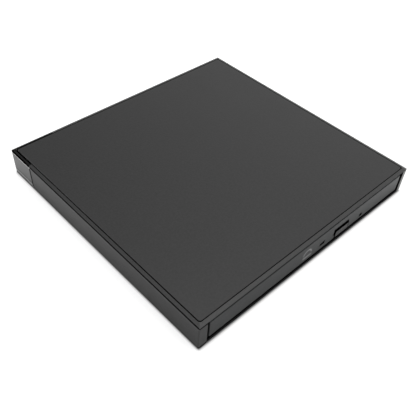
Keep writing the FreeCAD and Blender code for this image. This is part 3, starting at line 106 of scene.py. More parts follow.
def rangeNode(tree, value, low, high, start=0.0, end=1.0, way="LINEAR"):
    # A value that goes from low to high as the given one goes from start to end.
    step = addNode(tree, "ShaderNodeMapRange", interpolation_type=way)
    for name, number in (("Value", value), ("From Min", start), ("From Max", end),
                         ("To Min", low), ("To Max", high)):
        feed(tree, number, step.inputs[name])
    return step.outputs[0]


def bumpNode(tree, height, depth):
    bump = addNode(tree, "ShaderNodeBump")
    bump.inputs["Strength"].default_value = 1.0
    bump.inputs["Distance"].default_value = depth * mm
    feed(tree, height, bump.inputs["Height"])
    return bump.outputs[0]


def noiseNode(tree, place, scale, detail, roughness=0.5):
    noise = addNode(tree, "ShaderNodeTexNoise", noise_dimensions="3D")
    for name, value in (("Vector", place), ("Scale", scale), ("Detail", detail),
                        ("Roughness", roughness)):
        feed(tree, value, noise.inputs[name])
    return noise.outputs["Fac"]


def objectPoint(tree):
    return addNode(tree, "ShaderNodeTexCoord").outputs["Object"]


def splitXYZ(tree, vector):
    parts = addNode(tree, "ShaderNodeSeparateXYZ")
    feed(tree, vector, parts.inputs[0])
    return parts.outputs


def arrange(tree):
    # Nodes in columns, each at least one column to the left of every node that it feeds.
    wires = [(wire.from_node.name, wire.to_node.name) for wire in tree.links]
    column = {node.name: 0 for node in tree.nodes}
    for step in range(len(column)):
        for source, target in wires:
            column[source] = max(column[source], column[target] + 1)
    filled = {}
    for node in tree.nodes:
        place = column[node.name]
        filled[place] = filled.get(place, 0) + 1
        node.location = (-220 * place, -260 * filled[place])


def newGroup(name, inputs, outputs):
    # inputs holds each input's default, a number or a vector. outputs names numbers.
    tree = bpy.data.node_groups.new(name, "ShaderNodeTree")
    for label, default in inputs.items():
        kind = "NodeSocketVector" if isinstance(default, tuple) else "NodeSocketFloat"
        socket = tree.interface.new_socket(label, in_out="INPUT", socket_type=kind)
        socket.default_value = default
    for label in outputs:
        tree.interface.new_socket(label, in_out="OUTPUT", socket_type="NodeSocketFloat")
    source = addNode(tree, "NodeGroupInput")
    target = addNode(tree, "NodeGroupOutput")
    return tree, source.outputs, target.inputs


def swing(tree, noise, amount):
    # A noise from 0 to 1 as a swing about 0.
    return mathNode(tree, "MULTIPLY", mathNode(tree, "SUBTRACT", noise, 0.5), amount)


def makeGrainGroup():
    # Fine moulded grain: a fine noise of the given size in mm, which is also the height, and a wide
    # noise that makes faint clouds. The tint is 1 plus the swing of both.
    tree, source, target = newGroup(
        "mouldedGrain", {"Size": 0.3, "Tint Amount": 0.1, "Cloud Amount": 0.04},
        ["Height", "Tint", "Cloud"])
    place = objectPoint(tree)
    frequency = mathNode(tree, "DIVIDE", 1 / mm, source["Size"])
    fine = noiseNode(tree, place, scale=frequency, detail=2.0, roughness=0.55)
    cloud = noiseNode(tree, place, scale=60.0, detail=3.0)
    both = mathNode(tree, "ADD", swing(tree, fine, source["Tint Amount"]),
                    swing(tree, cloud, source["Cloud Amount"]))
    feed(tree, fine, target["Height"])
    feed(tree, mathNode(tree, "ADD", both, 1.0), target["Tint"])
    feed(tree, cloud, target["Cloud"])
    return tree


def makeBrushGroup():
    # Rolled or brushed metal: noise on Object coordinates that are stretched along one axis.
    tree, source, target = newGroup(
        "brushedLines", {"Stretch": (1.0, 30.0, 30.0), "Tint Amount": 0.2}, ["Height", "Tint"])
    place = vectorNode(tree, "MULTIPLY", objectPoint(tree), source["Stretch"])
    lines = noiseNode(tree, place, scale=120.0, detail=4.0)
    tint = mathNode(tree, "ADD", swing(tree, lines, source["Tint Amount"]), 1.0)
    feed(tree, lines, target["Height"])
    feed(tree, tint, target["Tint"])
    return tree


boardLook = {
    "trackSize": 0.9,
    "viasPerMetre": 420.0,
    "viaRadius": 0.12,                 # as a share of the space between two vias
    "viaColour": (0.55, 0.52, 0.42, 1),
    "maskShade": (0.8, 0.9),           # the solder mask between tracks, and what a track adds
    "roughness": 0.32,
    "depth": 0.02,
}


def makeBoardGroup():
    # Solder mask over copper: a brick pattern for tracks and a scatter of small dots for vias.
    tree, source, target = newGroup(
        "boardTracks", {"Track Size": boardLook["trackSize"]}, ["Tracks", "Vias"])
    place = objectPoint(tree)
    bricks = addNode(tree, "ShaderNodeTexBrick", offset=0.37, squash=1.7, squash_frequency=3)
    brickInputs = {
        "Vector": place, "Scale": mathNode(tree, "DIVIDE", 1 / mm, source["Track Size"]),
        "Color1": (0, 0, 0, 1), "Color2": (0.4, 0.4, 0.4, 1), "Mortar": (1, 1, 1, 1),
        "Mortar Size": 0.12, "Brick Width": 5.0, "Row Height": 0.55,
    }
    for name, value in brickInputs.items():
        feed(tree, value, bricks.inputs[name])
    parts = addNode(tree, "ShaderNodeSeparateColor")
    feed(tree, bricks.outputs["Color"], parts.inputs[0])
    dots = addNode(tree, "ShaderNodeTexVoronoi", feature="F1", distance="EUCLIDEAN")
    dotInputs = {"Vector": place, "Scale": boardLook["viasPerMetre"], "Randomness": 0.8}
    for name, value in dotInputs.items():
        feed(tree, value, dots.inputs[name])
    via = mathNode(tree, "LESS_THAN", dots.outputs["Distance"], boardLook["viaRadius"])
    feed(tree, parts.outputs[0], target["Tracks"])
    feed(tree, via, target["Vias"])
    return tree


def makeBoxGroup():
    # 1 inside a box of the Object coordinates, falling to 0 over Edge outside it: the least of the
    # six distances to its faces, divided by Edge, plus 1.
    tree, source, target = newGroup(
        "boxMask", {"Low": (0, 0, 0), "High": (0, 0, 0), "Edge": 0.00005}, ["Mask"])
    place = objectPoint(tree)
    nearest = vectorNode(tree, "MINIMUM", vectorNode(tree, "SUBTRACT", place, source["Low"]),
                         vectorNode(tree, "SUBTRACT", source["High"], place))
    x, y, z = splitXYZ(tree, nearest)
    least = mathNode(tree, "MINIMUM", mathNode(tree, "MINIMUM", x, y), z)
    share = mathNode(tree, "DIVIDE", least, source["Edge"])
    feed(tree, mathNode(tree, "ADD", share, 1.0, clamp=True), target["Mask"])
    return tree


def makeSignGroup():
    # A plain sign for a disc going in: a half ring over a bar, flat on a face that looks along -Y.
    # The half ring is where the distance from Centre lies between two radii and z is above it. The
    # bar is as wide as the ring and lies barDrop times its own height below Centre.
    barDrop = 1.8
    tree, source, target = newGroup(
        "discSign", {"Centre": (0, 0, 0), "Radius": 0.003, "Ring": 0.0007, "Bar": 0.0008,
                     "Edge": 0.00015}, ["Mask"])
    x, y, z = splitXYZ(tree, vectorNode(tree, "SUBTRACT", objectPoint(tree), source["Centre"]))

    def times(a, b):
        return mathNode(tree, "MULTIPLY", a, b)

    def under(value, limit):
        # 1 where the value is under the limit and 0 where it is over, with Edge between them.
        room = mathNode(tree, "DIVIDE", mathNode(tree, "SUBTRACT", limit, value), source["Edge"])
        return mathNode(tree, "ADD", room, 0.5, clamp=True)

    far = mathNode(tree, "SQRT", mathNode(tree, "ADD", times(x, x), times(z, z)))
    inner = mathNode(tree, "SUBTRACT", source["Radius"], source["Ring"])
    ring = times(times(under(far, source["Radius"]), under(inner, far)), under(0.0, z))
    off = mathNode(tree, "SUBTRACT", z, times(source["Bar"], -barDrop))
    tall = under(mathNode(tree, "ABSOLUTE", off), times(source["Bar"], 0.5))
    wide = under(mathNode(tree, "ABSOLUTE", x), source["Radius"])
    feed(tree, mathNode(tree, "MAXIMUM", ring, times(tall, wide)), target["Mask"])
    return tree


groups = {"grain": makeGrainGroup(), "brush": makeBrushGroup(), "board": makeBoardGroup(),
          "box": makeBoxGroup(), "sign": makeSignGroup()}


def newMaterial(name):
    material = bpy.data.materials.new(name)
    material.use_nodes = True
    tree = material.node_tree
    tree.nodes.clear()
    shader = addNode(tree, "ShaderNodeBsdfPrincipled")
    output = addNode(tree, "ShaderNodeOutputMaterial")
    feed(tree, shader.outputs[0], output.inputs["Surface"])
    return material, tree, shader.inputs


def placeGroup(tree, key, values):
    node = addNode(tree, "ShaderNodeGroup", node_tree=groups[key])
    for name, value in values.items():
        feed(tree, value, node.inputs[name])
    return node.outputs


plasticCommon = {"cloud": 0.06, "roughSpread": 0.1}
metalCommon = {"depth": 0.004, "roughSpread": 0.5}      # the spread is a share of the roughness


def plasticMaterial(name, colour, roughness, size, depth, tintAmount=0.15, specular=0.5, coat=0.0):
    # Moulded plastic or rubber. size and depth are those of its grain, in mm.
    material, tree, inputs = newMaterial(name)
    grain = placeGroup(tree, "grain", {"Size": size, "Tint Amount": tintAmount,
                                       "Cloud Amount": plasticCommon["cloud"]})
    half = plasticCommon["roughSpread"] / 2
    rough = rangeNode(tree, grain["Cloud"], roughness - half, roughness + half)
    feed(tree, vectorNode(tree, "SCALE", colour[:3], grain["Tint"]), inputs["Base Color"])
    feed(tree, rough, inputs["Roughness"])
    feed(tree, bumpNode(tree, grain["Height"], depth), inputs["Normal"])
    inputs["Specular IOR Level"].default_value = specular
    inputs["Coat Weight"].default_value = coat
    return material


def metalMaterial(name, colour, roughness, stretch, tintAmount=0.25):
    # Bare or blackened metal, brushed along the axis whose stretch is the least.
    material, tree, inputs = newMaterial(name)
    brush = placeGroup(tree, "brush", {"Stretch": stretch, "Tint Amount": tintAmount})
    half = metalCommon["roughSpread"] / 2
    rough = rangeNode(tree, brush["Height"], roughness * (1 - half), roughness * (1 + half))
    feed(tree, vectorNode(tree, "SCALE", colour[:3], brush["Tint"]), inputs["Base Color"])
    feed(tree, rough, inputs["Roughness"])
    feed(tree, bumpNode(tree, brush["Height"], metalCommon["depth"]), inputs["Normal"])
    inputs["Metallic"].default_value = 1.0
    return material


def boardMaterial(name, colour):
    material, tree, inputs = newMaterial(name)
    board = placeGroup(tree, "board", {"Track Size": boardLook["trackSize"]})
    grain = placeGroup(tree, "grain", {"Size": 0.4, "Tint Amount": 0.15, "Cloud Amount": 0.1})
    shade, lift = boardLook["maskShade"]
    tint = mathNode(tree, "ADD", mathNode(tree, "MULTIPLY", board["Tracks"], lift), shade)
    tint = mathNode(tree, "MULTIPLY", tint, grain["Tint"])
    mask = vectorNode(tree, "SCALE", colour[:3], tint)
    mixed = mixNode(tree, board["Vias"], mask, boardLook["viaColour"])
    feed(tree, mixed, inputs["Base Color"])
    feed(tree, boardLook["roughness"], inputs["Roughness"])
    feed(tree, bumpNode(tree, board["Tracks"], boardLook["depth"]), inputs["Normal"])
    return material


def ribbonMaterial(name, look):
    # Flat conductors under a white film, by the piece's UV map: u from the socket, v across.
    material, tree, inputs = newMaterial(name)
    along, across = splitXYZ(tree, addNode(tree, "ShaderNodeUVMap", uv_map="strip").outputs[0])[:2]
    turn = mathNode(tree, "MULTIPLY", across, look["lines"] * 2 * math.pi)
    stripe = mathNode(tree, "GREATER_THAN", mathNode(tree, "SINE", turn), -0.2)
    atEnd = mathNode(tree, "LESS_THAN", along, look["stiffShare"])
    base = mixNode(tree, stripe, look["film"], look["conductor"])
    base = mixNode(tree, atEnd, base, look["stiffener"])
    grain = placeGroup(tree, "grain", {"Size": 0.5, "Tint Amount": 0.08, "Cloud Amount": 0.08})
    feed(tree, vectorNode(tree, "SCALE", base, grain["Tint"]), inputs["Base Color"])
    feed(tree, look["roughness"], inputs["Roughness"])
    feed(tree, bumpNode(tree, stripe, look["depth"]), inputs["Normal"])
    return material


lensLook = {"facing": (0.05, 0.06, 0.16, 1), "rim": (0.25, 0.08, 0.3, 1), "blend": 0.35,
            "roughness": 0.04, "coatRoughness": 0.02}


def lensMaterial(name):
    # A dark coated lens, blue where it faces the eye and violet towards its rim: a painted
    # reflection of the coating, by the angle to the eye.
    material, tree, inputs = newMaterial(name)
    weight = addNode(tree, "ShaderNodeLayerWeight")
    weight.inputs["Blend"].default_value = lensLook["blend"]
    ramp = addNode(tree, "ShaderNodeValToRGB")
    ramp.color_ramp.elements[0].color = lensLook["facing"]
    ramp.color_ramp.elements[1].color = lensLook["rim"]
    feed(tree, weight.outputs["Facing"], ramp.inputs["Fac"])
    feed(tree, ramp.outputs[0], inputs["Base Color"])
    inputs["Roughness"].default_value = lensLook["roughness"]
    inputs["Coat Weight"].default_value = 1.0
    inputs["Coat Roughness"].default_value = lensLook["coatRoughness"]
    return material


# One material for each slot of the record. Sizes and depths of grain are in mm.
plasticLooks = {
    "case_shell": dict(colour=grey(46), roughness=0.42, size=0.8, depth=0.02, tintAmount=0.8),
    "cover_shell": dict(colour=grey(48), roughness=0.42, size=0.8, depth=0.02, tintAmount=0.8),
    "inlay_panel": dict(colour=grey(36), roughness=0.42, size=0.9, depth=0.035, tintAmount=1.0,
                        specular=0.45),
    "corner_plastic": dict(colour=grey(97), roughness=0.42, size=0.28, depth=0.01),
    "trim_black": dict(colour=grey(26), roughness=0.6, size=0.3, depth=0.01, specular=0.1),
    "bezel_plastic": dict(colour=grey(44, (0.92, 1, 1.02)), roughness=0.42, size=0.25, depth=0.008),
    "button_plastic": dict(colour=grey(56), roughness=0.4, size=0.25, depth=0.006),
    "foot_rubber": dict(colour=grey(38), roughness=0.8, size=0.5, depth=0.03),
    "guide_nylon": dict(colour=grey(205, (1, 0.98, 0.93)), roughness=0.4, size=0.5, depth=0.004),
    "chip_black": dict(colour=grey(34), roughness=0.5, size=0.2, depth=0.01),
    "socket_black": dict(colour=grey(30), roughness=0.42, size=0.3, depth=0.006),
    "socket_ivory": dict(colour=grey(214, (1, 0.96, 0.86)), roughness=0.45, size=0.4, depth=0.004),
    "ribbon_white": dict(colour=grey(222, (0.97, 0.99, 1)), roughness=0.35, size=0.5, depth=0.002),
    "tray_black": dict(colour=grey(44), roughness=0.5, size=0.3, depth=0.02, tintAmount=0.25),
    "window_clear": dict(colour=grey(44), roughness=0.3, size=0.4, depth=0.002),
    "lamp_epoxy": dict(colour=grey(200, (0.9, 1, 0.8)), roughness=0.15, size=0.4, depth=0.002,
                       coat=0.6),
    "switch_tip": dict(colour=grey(150, (1, 0.2, 0.15)), roughness=0.4, size=0.3, depth=0.004),
    "damper_rubber": dict(colour=grey(92, (0.5, 0.7, 1.2)), roughness=0.7, size=0.4, depth=0.02),
    "hub_black": dict(colour=grey(40), roughness=0.3, size=0.3, depth=0.004),
    "ring_rubber": dict(colour=grey(62), roughness=0.8, size=0.25, depth=0.02),
    "claw_plastic": dict(colour=grey(60), roughness=0.3, size=0.3, depth=0.003),
    "follower_ivory": dict(colour=grey(222, (1, 0.98, 0.92)), roughness=0.35, size=0.4,
                           depth=0.003),
    "holder_black": dict(colour=grey(32), roughness=0.4, size=0.25, depth=0.008),
    "lever_ivory": dict(colour=grey(222, (1, 0.98, 0.92)), roughness=0.35, size=0.4, depth=0.003),
    "mechanism_paint": dict(colour=grey(36), roughness=0.45, size=0.2, depth=0.012, tintAmount=0.3),
}
metalLooks = {
    "screw_black": dict(colour=grey(70), roughness=0.4, stretch=(20, 20, 20)),
    "screw_steel": dict(colour=grey(190), roughness=0.3, stretch=(20, 20, 20)),
    "pin_steel": dict(colour=grey(185), roughness=0.28, stretch=(20, 20, 1)),
    "pan_steel": dict(colour=grey(178), roughness=0.36, stretch=(25, 1, 25)),
    "plate_steel": dict(colour=grey(178), roughness=0.36, stretch=(25, 1, 25)),
    "rail_steel": dict(colour=grey(195), roughness=0.25, stretch=(25, 1, 25)),
    "socket_shell": dict(colour=grey(200), roughness=0.22, stretch=(1, 25, 25)),
    "shield_steel": dict(colour=grey(182), roughness=0.34, stretch=(25, 1, 25)),
    "mechanism_steel": dict(colour=grey(168), roughness=0.4, stretch=(1, 18, 18)),
    "rod_steel": dict(colour=grey(215), roughness=0.12, stretch=(4, 4, 4), tintAmount=0.08),
    "motor_steel": dict(colour=grey(176), roughness=0.3, stretch=(14, 14, 3)),
    "sled_metal": dict(colour=grey(188), roughness=0.42, stretch=(9, 9, 9)),
    "solenoid_steel": dict(colour=grey(170), roughness=0.35, stretch=(3, 20, 20)),
    "spring_steel": dict(colour=grey(190), roughness=0.25, stretch=(20, 20, 20)),
}
slotMaterials = {name: plasticMaterial(name, **look) for name, look in plasticLooks.items()}
slotMaterials.update({name: metalMaterial(name, **look) for name, look in metalLooks.items()})
slotMaterials["board_green"] = boardMaterial("board_green", grey(84, (0.25, 1.0, 0.55)))
slotMaterials["lens_glass"] = lensMaterial("lens_glass")

# painted shade: a near black painted where light hardly gets in
paintedShadeBlack = grey(3)      # for gaps that light hardly enters


def shaderOf(material):
    return next(node for node in material.node_tree.nodes if node.type == "BSDF_PRINCIPLED")


def dullPaintedShadeRims(material):
    # Half the tint and twice the level give the plastic the same shine, but they take the bright
    # rim off a black metal: the painted shade, which paintOver paints as a black metal.
    inputs = shaderOf(material).inputs
    inputs["Specular Tint"].default_value = (0.5, 0.5, 0.5, 1)
    inputs["Specular IOR Level"].default_value *= 2


def paintOver(material, mask, colour):
    # The colour over what the material already has, where the mask is 1. The painted shade,
    # paintedShadeBlack, is painted as a black metal, which has no shine of its own, and any other
    # colour takes that metal away.
    tree = material.node_tree
    inputs = shaderOf(material).inputs
    base, metal = inputs["Base Color"], inputs["Metallic"]
    feed(tree, mixNode(tree, mask, base.links[0].from_socket, colour), base)
    before = metal.links[0].from_socket if metal.is_linked else metal.default_value
    if colour == paintedShadeBlack:
        feed(tree, mathNode(tree, "MAXIMUM", before, mask), metal)
    elif metal.is_linked:
        bare = mathNode(tree, "SUBTRACT", 1.0, mask)
        feed(tree, mathNode(tree, "MULTIPLY", before, bare), metal)


def paintBoxes(material, boxes):
    # Boxes of the Object coordinates, in mm: (low corner, high corner, edge, colour).
    for low, high, edge, colour in boxes:
        box = {"Low": [v * mm for v in low], "High": [v * mm for v in high], "Edge": edge * mm}
        paintOver(material, placeGroup(material.node_tree, "box", box)[0], colour)


def paintDisc(material, centre, radius, edge, colour):
    # A round spot on a face that looks along Y, with its centre at (x, z): 1 where the distance
    # from the centre is under the radius, falling to 0 over the edge.
    tree = material.node_tree
    middle = (centre[0] * mm, 0, centre[1] * mm)
    local = vectorNode(tree, "SUBTRACT", objectPoint(tree), middle)
    far = vectorNode(tree, "LENGTH", vectorNode(tree, "MULTIPLY", local, (1, 0, 1)))
    room = mathNode(tree, "SUBTRACT", (radius + edge) * mm, far)
    paintOver(material, mathNode(tree, "DIVIDE", room, edge * mm, clamp=True), colour)


def paintSign(material, centre, radius, colour):
    sign = {"Centre": [v * mm for v in centre], "Radius": radius * mm}
    paintOver(material, placeGroup(material.node_tree, "sign", sign)[0], colour)


def boxOf(node):
    # The lowest and highest corner of a node, in mm.
    low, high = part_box(node)
    return low / mm, high / mm


caseLow, caseHigh = boxOf("lower_case")
panelLow, panelHigh = boxOf("top_panel")
bezelLow, bezelHigh = boxOf("front_bezel")
doorLow, doorHigh = boxOf("corner_cover")
buttonLow, buttonHigh = boxOf("eject_button")
lampLow, lampHigh = boxOf("lamp_window")
trimRight = boxOf("corner_trim")[1].x
left, front, right, rear = caseLow.x, caseLow.y, caseHigh.x, caseHigh.y
face = bezelLow.y
doorEdge = doorLow.y        # the seam between the case's left wall and the corner cover
lampFlange = 0.5            # how far the lamp window's flange goes to each side of its recess
# painted shade round the emergency hole: a dark disc a little wider than the hole, soft at its edge
pinHoleShade = {"centre": (34.175, 5.05), "radius": 0.95, "edge": 0.4}
discSign = {"centre": (-5.0, face, 6.6), "radius": 2.9, "ink": grey(150)}
# reaches of the painted shades and painted highlights in the boxes below
skin = 0.15                 # how far a shade reaches out of a side wall, and mostly into it
past = 0.1                  # how far a shade goes past a wall's end, or out of the front


def onLeft(yLow, yHigh, zLow, zHigh, edge, colour, inward=skin):
    return (left - skin, yLow, zLow), (left + inward, yHigh, zHigh), edge, colour


def onRear(zLow, zHigh, edge, colour):
    return (left, rear - skin, zLow), (doorHigh.x + past, rear + past, zHigh), edge, colour


def onFront(xLow, xHigh, zLow, zHigh, edge, colour, inward):
    return (xLow, front - past, zLow), (xHigh, front + inward, zHigh), edge, colour


# Painted shade where light hardly gets in, and painted highlights or painted light where an edge
# or wall is bright: boxes as low corner, high corner, edge and colour. A later box lies over an
# earlier one.
paintedShadeAndHighlightBoxes = {
    "case_shell": [
        # painted shade inside the bezel's opening, then on the lip under the bezel
        ((bezelLow.x - 1.53, front + 0.12, 0.55), (bezelHigh.x + 1.53, face + 6, 13.0), 0.04, paintedShadeBlack),
        onFront(bezelLow.x - 1.33, bezelHigh.x + 1.33, 0.4, 2.2, 0.15, grey(34), inward=0.2),
        onFront(bezelLow.x - 1.33, bezelHigh.x + 1.33, 0.4, 1.5, 0.3, paintedShadeBlack, inward=0.2),
        # painted shade at the foot of the left wall: all of it, lighter in its middle, and its rear
        # end and its front end
        onLeft(front - past, doorEdge - 0.3, 0.4, 1.9, 0.25, grey(36)),
        onLeft(-36.0, 12.0, 1.1, 2.1, 0.25, grey(49)),
        onLeft(20.0, doorEdge - 0.3, 0.4, 1.5, 0.2, grey(20)),
        onLeft(front - past, -48.0, 0.4, 1.7, 0.3, grey(26)),
        # painted shade at the foot under the corner cover, and a painted highlight on the edge of the
        # floor that shows above it
        onLeft(doorEdge - 0.2, rear + past, 0.3, 1.5, 0.05, grey(14)),
        onLeft(doorEdge - 0.2, rear + past, 1.6, 2.0, 0.05, grey(140), inward=1.0),
        # painted shade at the foot and the top of the left front pillar
        onFront(left - past, bezelLow.x - 1.3, 0.4, 1.2, 0.3, paintedShadeBlack, inward=0.1),
        onFront(left + past, bezelLow.x - 1.4, 13.2, 13.6, 0.04, paintedShadeBlack, inward=0.5),
        # painted shade on the left wall's end at the corner cover, and painted light on its top
        onLeft(doorEdge - 0.5, doorEdge, 2.0, 13.6, 0.05, paintedShadeBlack),
        onLeft(front - past, doorEdge - 0.3, 12.8, 13.6, 0.3, grey(66)),
        # painted light on the right front pillar, which catches the light
        onFront(right - 2.6, right + past, 0.4, 13.6, 0.3, grey(112, (1, 1, 0.95)), inward=0.3),
    ],
    "cover_shell": [
        # painted shade above the bezel, then over the left front pillar
        ((bezelLow.x - 1.53, front + 0.05, 12.0), (bezelHigh.x + 1.53, face + 6, 13.86),
         0.04, paintedShadeBlack),
        onFront(left + past, bezelLow.x - 1.5, 13.4, 13.95, 0.04, paintedShadeBlack, inward=0.3),
        # painted shade in the groove round the panel
        ((panelLow.x - 0.5, panelLow.y - 0.5, 13.7), (panelHigh.x + 0.5, panelHigh.y + 0.5, 14.32),
         0.04, paintedShadeBlack),
        # painted shade on the lower part of the outer edge on the left, on the right and at the rear
        onLeft(front + past, doorEdge - 0.2, 13.8, 14.3, 0.06, paintedShadeBlack, inward=0.23),
        ((right - 0.23, front + past, 13.8), (right + skin, rear + past, 14.3), 0.06, paintedShadeBlack),
        ((left - skin, rear - 0.23, 13.8), (right + skin, rear + past, 14.3), 0.06, paintedShadeBlack),
        # a painted highlight on the corner over the right front pillar
        onFront(right - 1.4, right + past, 13.9, 14.7, 0.8, grey(70, (1, 1, 0.93)), inward=1.6),
    ],
    "inlay_panel": [
        # painted shade on the panel's sides in the groove: left, right, front and rear
        ((panelLow.x - 0.2, panelLow.y, 13.7), (panelLow.x + 0.06, panelHigh.y, 14.6), 0.04, paintedShadeBlack),
        ((panelHigh.x - 0.08, panelLow.y, 13.7), (panelHigh.x + 0.2, panelHigh.y, 14.42),
         0.04, paintedShadeBlack),
        ((panelLow.x - 0.2, panelLow.y - 0.2, 13.7), (panelHigh.x, panelLow.y + 0.08, 14.42),
         0.04, paintedShadeBlack),
        ((panelLow.x, panelHigh.y - 0.08, 13.7), (panelHigh.x, panelHigh.y + 0.2, 14.42),
         0.04, paintedShadeBlack),
    ],
    "bezel_plastic": [
        # painted shade on the walls of the button's slot, on its upper edge, and on the walls of the
        # lamp window's recess
        ((buttonLow.x - 2.3, face + 0.06, 2.6), (buttonHigh.x + 0.7, face + 5, 8.75), 0.03, paintedShadeBlack),
        ((buttonLow.x - 1.9, face - 0.1, 8.3), (buttonHigh.x - 0.2, face + 0.1, 8.85), 0.1, paintedShadeBlack),
        ((lampLow.x + lampFlange - 0.25, face + 0.04, lampLow.z - 0.25),
         (lampHigh.x - lampFlange + 0.25, face + 5, lampHigh.z + 0.25), 0.03, paintedShadeBlack),
    ],
    "button_plastic": [
        # painted shade on the button's sides inside the slot
        ((buttonLow.x - 0.1, face + 0.14, 2.0), (buttonHigh.x + 0.1, face + 20, 9.0), 0.04, paintedShadeBlack),
    ],
    "tray_black": [
        # painted shade on what is seen of the drawer through the slot
        ((12.5, -64.1, 2.6), (26.0, -63.8, 9.0), 0.1, paintedShadeBlack),
    ],
    "corner_plastic": [
        # a painted highlight as a lighter band at the foot, and a darker line over it, on the left
        # and at the rear
        onLeft(doorEdge, rear + past, 2.0, 3.1, 0.15, grey(150)),
        onRear(2.0, 3.1, 0.15, grey(128)),
        onLeft(doorEdge, rear + past, 3.6, 4.2, 0.2, grey(66)),
        onRear(3.6, 4.2, 0.2, grey(66)),
        # painted shade on the front end in the seam, then a painted highlight on the top edge
        onLeft(doorEdge - 0.1, doorEdge + 0.45, 2.0, 13.0, 0.1, paintedShadeBlack, inward=0.25),
        onLeft(doorEdge + 0.6, rear + past, 12.8, 13.0, 0.06, grey(230), inward=0.7),
    ],
    "trim_black": [
        # painted shade on the low step along the outer edge, a painted highlight on its own edge, and
        # painted shade on the inner edge
        ((left - 0.1, doorEdge, 13.0), (trimRight + 0.1, rear + 0.1, 13.5), 0.05, paintedShadeBlack),
        ((left - 0.1, doorEdge, 13.0), (left + 0.12, rear + 0.1, 13.35), 0.04, grey(215)),
        ((left + 1.3, doorEdge, 13.0), (trimRight + 0.1, rear - 1.3, 14.7), 0.05, paintedShadeBlack),
    ],
}
for slotName, boxes in paintedShadeAndHighlightBoxes.items():
    dullPaintedShadeRims(slotMaterials[slotName])
    paintBoxes(slotMaterials[slotName], boxes)
# painted shade round the emergency hole, then the printed sign
paintDisc(slotMaterials["bezel_plastic"], pinHoleShade["centre"], pinHoleShade["radius"], pinHoleShade["edge"],
          paintedShadeBlack)
paintSign(slotMaterials["bezel_plastic"], discSign["centre"], discSign["radius"], discSign["ink"])

for subpart in frame["record"]["subparts"]:
    node = frame["nodes"][subpart["node"]]
    node.data.materials.clear()
    node.data.materials.append(slotMaterials[subpart["material_slot"]])
print("materials:", len(slotMaterials))


def wrappedGrid(grid):
    # Points of shape (rings, sides, 3): each ring joins the next, and a fan closes each end.
    rings, sides = grid.shape[:2]
    ids = np.arange(rings * sides).reshape(rings, sides)
    after = np.roll(ids, -1, axis=1)
    quads = np.stack([ids[:-1], after[:-1], after[1:], ids[1:]], axis=-1).reshape(-1, 4)
    hub = np.full(sides, rings * sides)
    first = np.stack([hub, after[0], ids[0]], axis=1)
    last = np.stack([hub + 1, ids[-1], after[-1]], axis=1)
    points = np.concatenate([grid.reshape(-1, 3), grid[[0, -1]].mean(axis=1)])
    # Six times the enclosed volume, from the quads cut in two: negative means inside out.
    corners = points[quads]
    volume = sum((corners[:, 0] * np.cross(corners[:, a], corners[:, b])).sum()
                 for a, b in ((1, 2), (2, 3)))
    way = 1 if volume > 0 else -1
    return points, sum((part[:, ::way].tolist() for part in (quads, first, last)), [])


def addPiece(name, points, faces, material, smooth=True):
    mesh = bpy.data.meshes.new(name)
    mesh.from_pydata(points.tolist(), [], faces)
    mesh.polygons.foreach_set("use_smooth", np.full(len(mesh.polygons), smooth))
    mesh.materials.append(material)
    piece = bpy.data.objects.new(name, mesh)
    bpy.context.scene.collection.objects.link(piece)
    return piece


def roundSection(radius, sides, across, up):
    # The circle radius (cos v across + sin v up), for each point of a path.
    v = 2 * np.pi * np.arange(sides) / sides
    return radius * (np.cos(v)[None, :, None] * across + np.sin(v)[None, :, None] * up)


springLook = {
    "axis": (3.775, 5.6), "start": 39.93, "end": 51.02,     # x and z of the axis, and y of the ends
    "radius": 1.355, "wire": 0.2, "turns": 8.5,
    "closed": 1.0, "closedRise": 1.04,      # closed turns at each end, and their rise in wires
    "steps": 48, "sides": 10,
}


def makeSpring():
    # A helix round the Y axis, angle a: (x0 + R cos a, y(a), z0 + R sin a), with a round wire on
    # it. y rises little in the closed turn at each end and goes up evenly in between.
    look = springLook
    turns, wire = look["turns"], look["wire"]
    axisX, axisZ = look["axis"]
    a = np.linspace(0, turns, int(turns * look["steps"]) + 1)
    low, high = look["start"] + wire, look["end"] - wire
    closedRise = 2 * wire * look["closedRise"]
    knots = [0, look["closed"], turns - look["closed"], turns]
    y = np.interp(a, knots, [low, low + closedRise, high - closedRise, high])
    angle = 2 * np.pi * a
    radial = np.stack([np.cos(angle), np.zeros_like(a), np.sin(angle)], axis=1)
    centre = radial * look["radius"] + np.stack([np.full_like(a, axisX), y, np.full_like(a, axisZ)],
                                                axis=1)
    tangent = np.gradient(centre, axis=0)
    tangent /= np.linalg.norm(tangent, axis=1)[:, None]
    across = np.cross(tangent, radial)
    grid = centre[:, None] + roundSection(wire, look["sides"], radial[:, None], across[:, None])
    points, faces = wrappedGrid(grid * mm)
    piece = addPiece("ejectSpringWire", points, faces, slotMaterials["spring_steel"])
    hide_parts("eject_spring")
    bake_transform(piece)


screwLook = {
    "spindle": (0.775, -2.5), "offset": -18.5, "height": 5.85,      # where the axis lies
    "start": 21.5, "shoulder": 23.5, "threadStart": 24.7,           # along it, from the spindle
    "threadEnd": 61.0, "tip": 61.8, "end": 63.0,
    "journal": 0.72, "core": 0.9, "thread": 1.1,                    # radii
    "pitch": 3.0, "ridge": 0.8, "flank": 0.2, "fade": 0.5,
    "sides": 40, "step": 0.1, "shoulderWidth": 0.02,
}


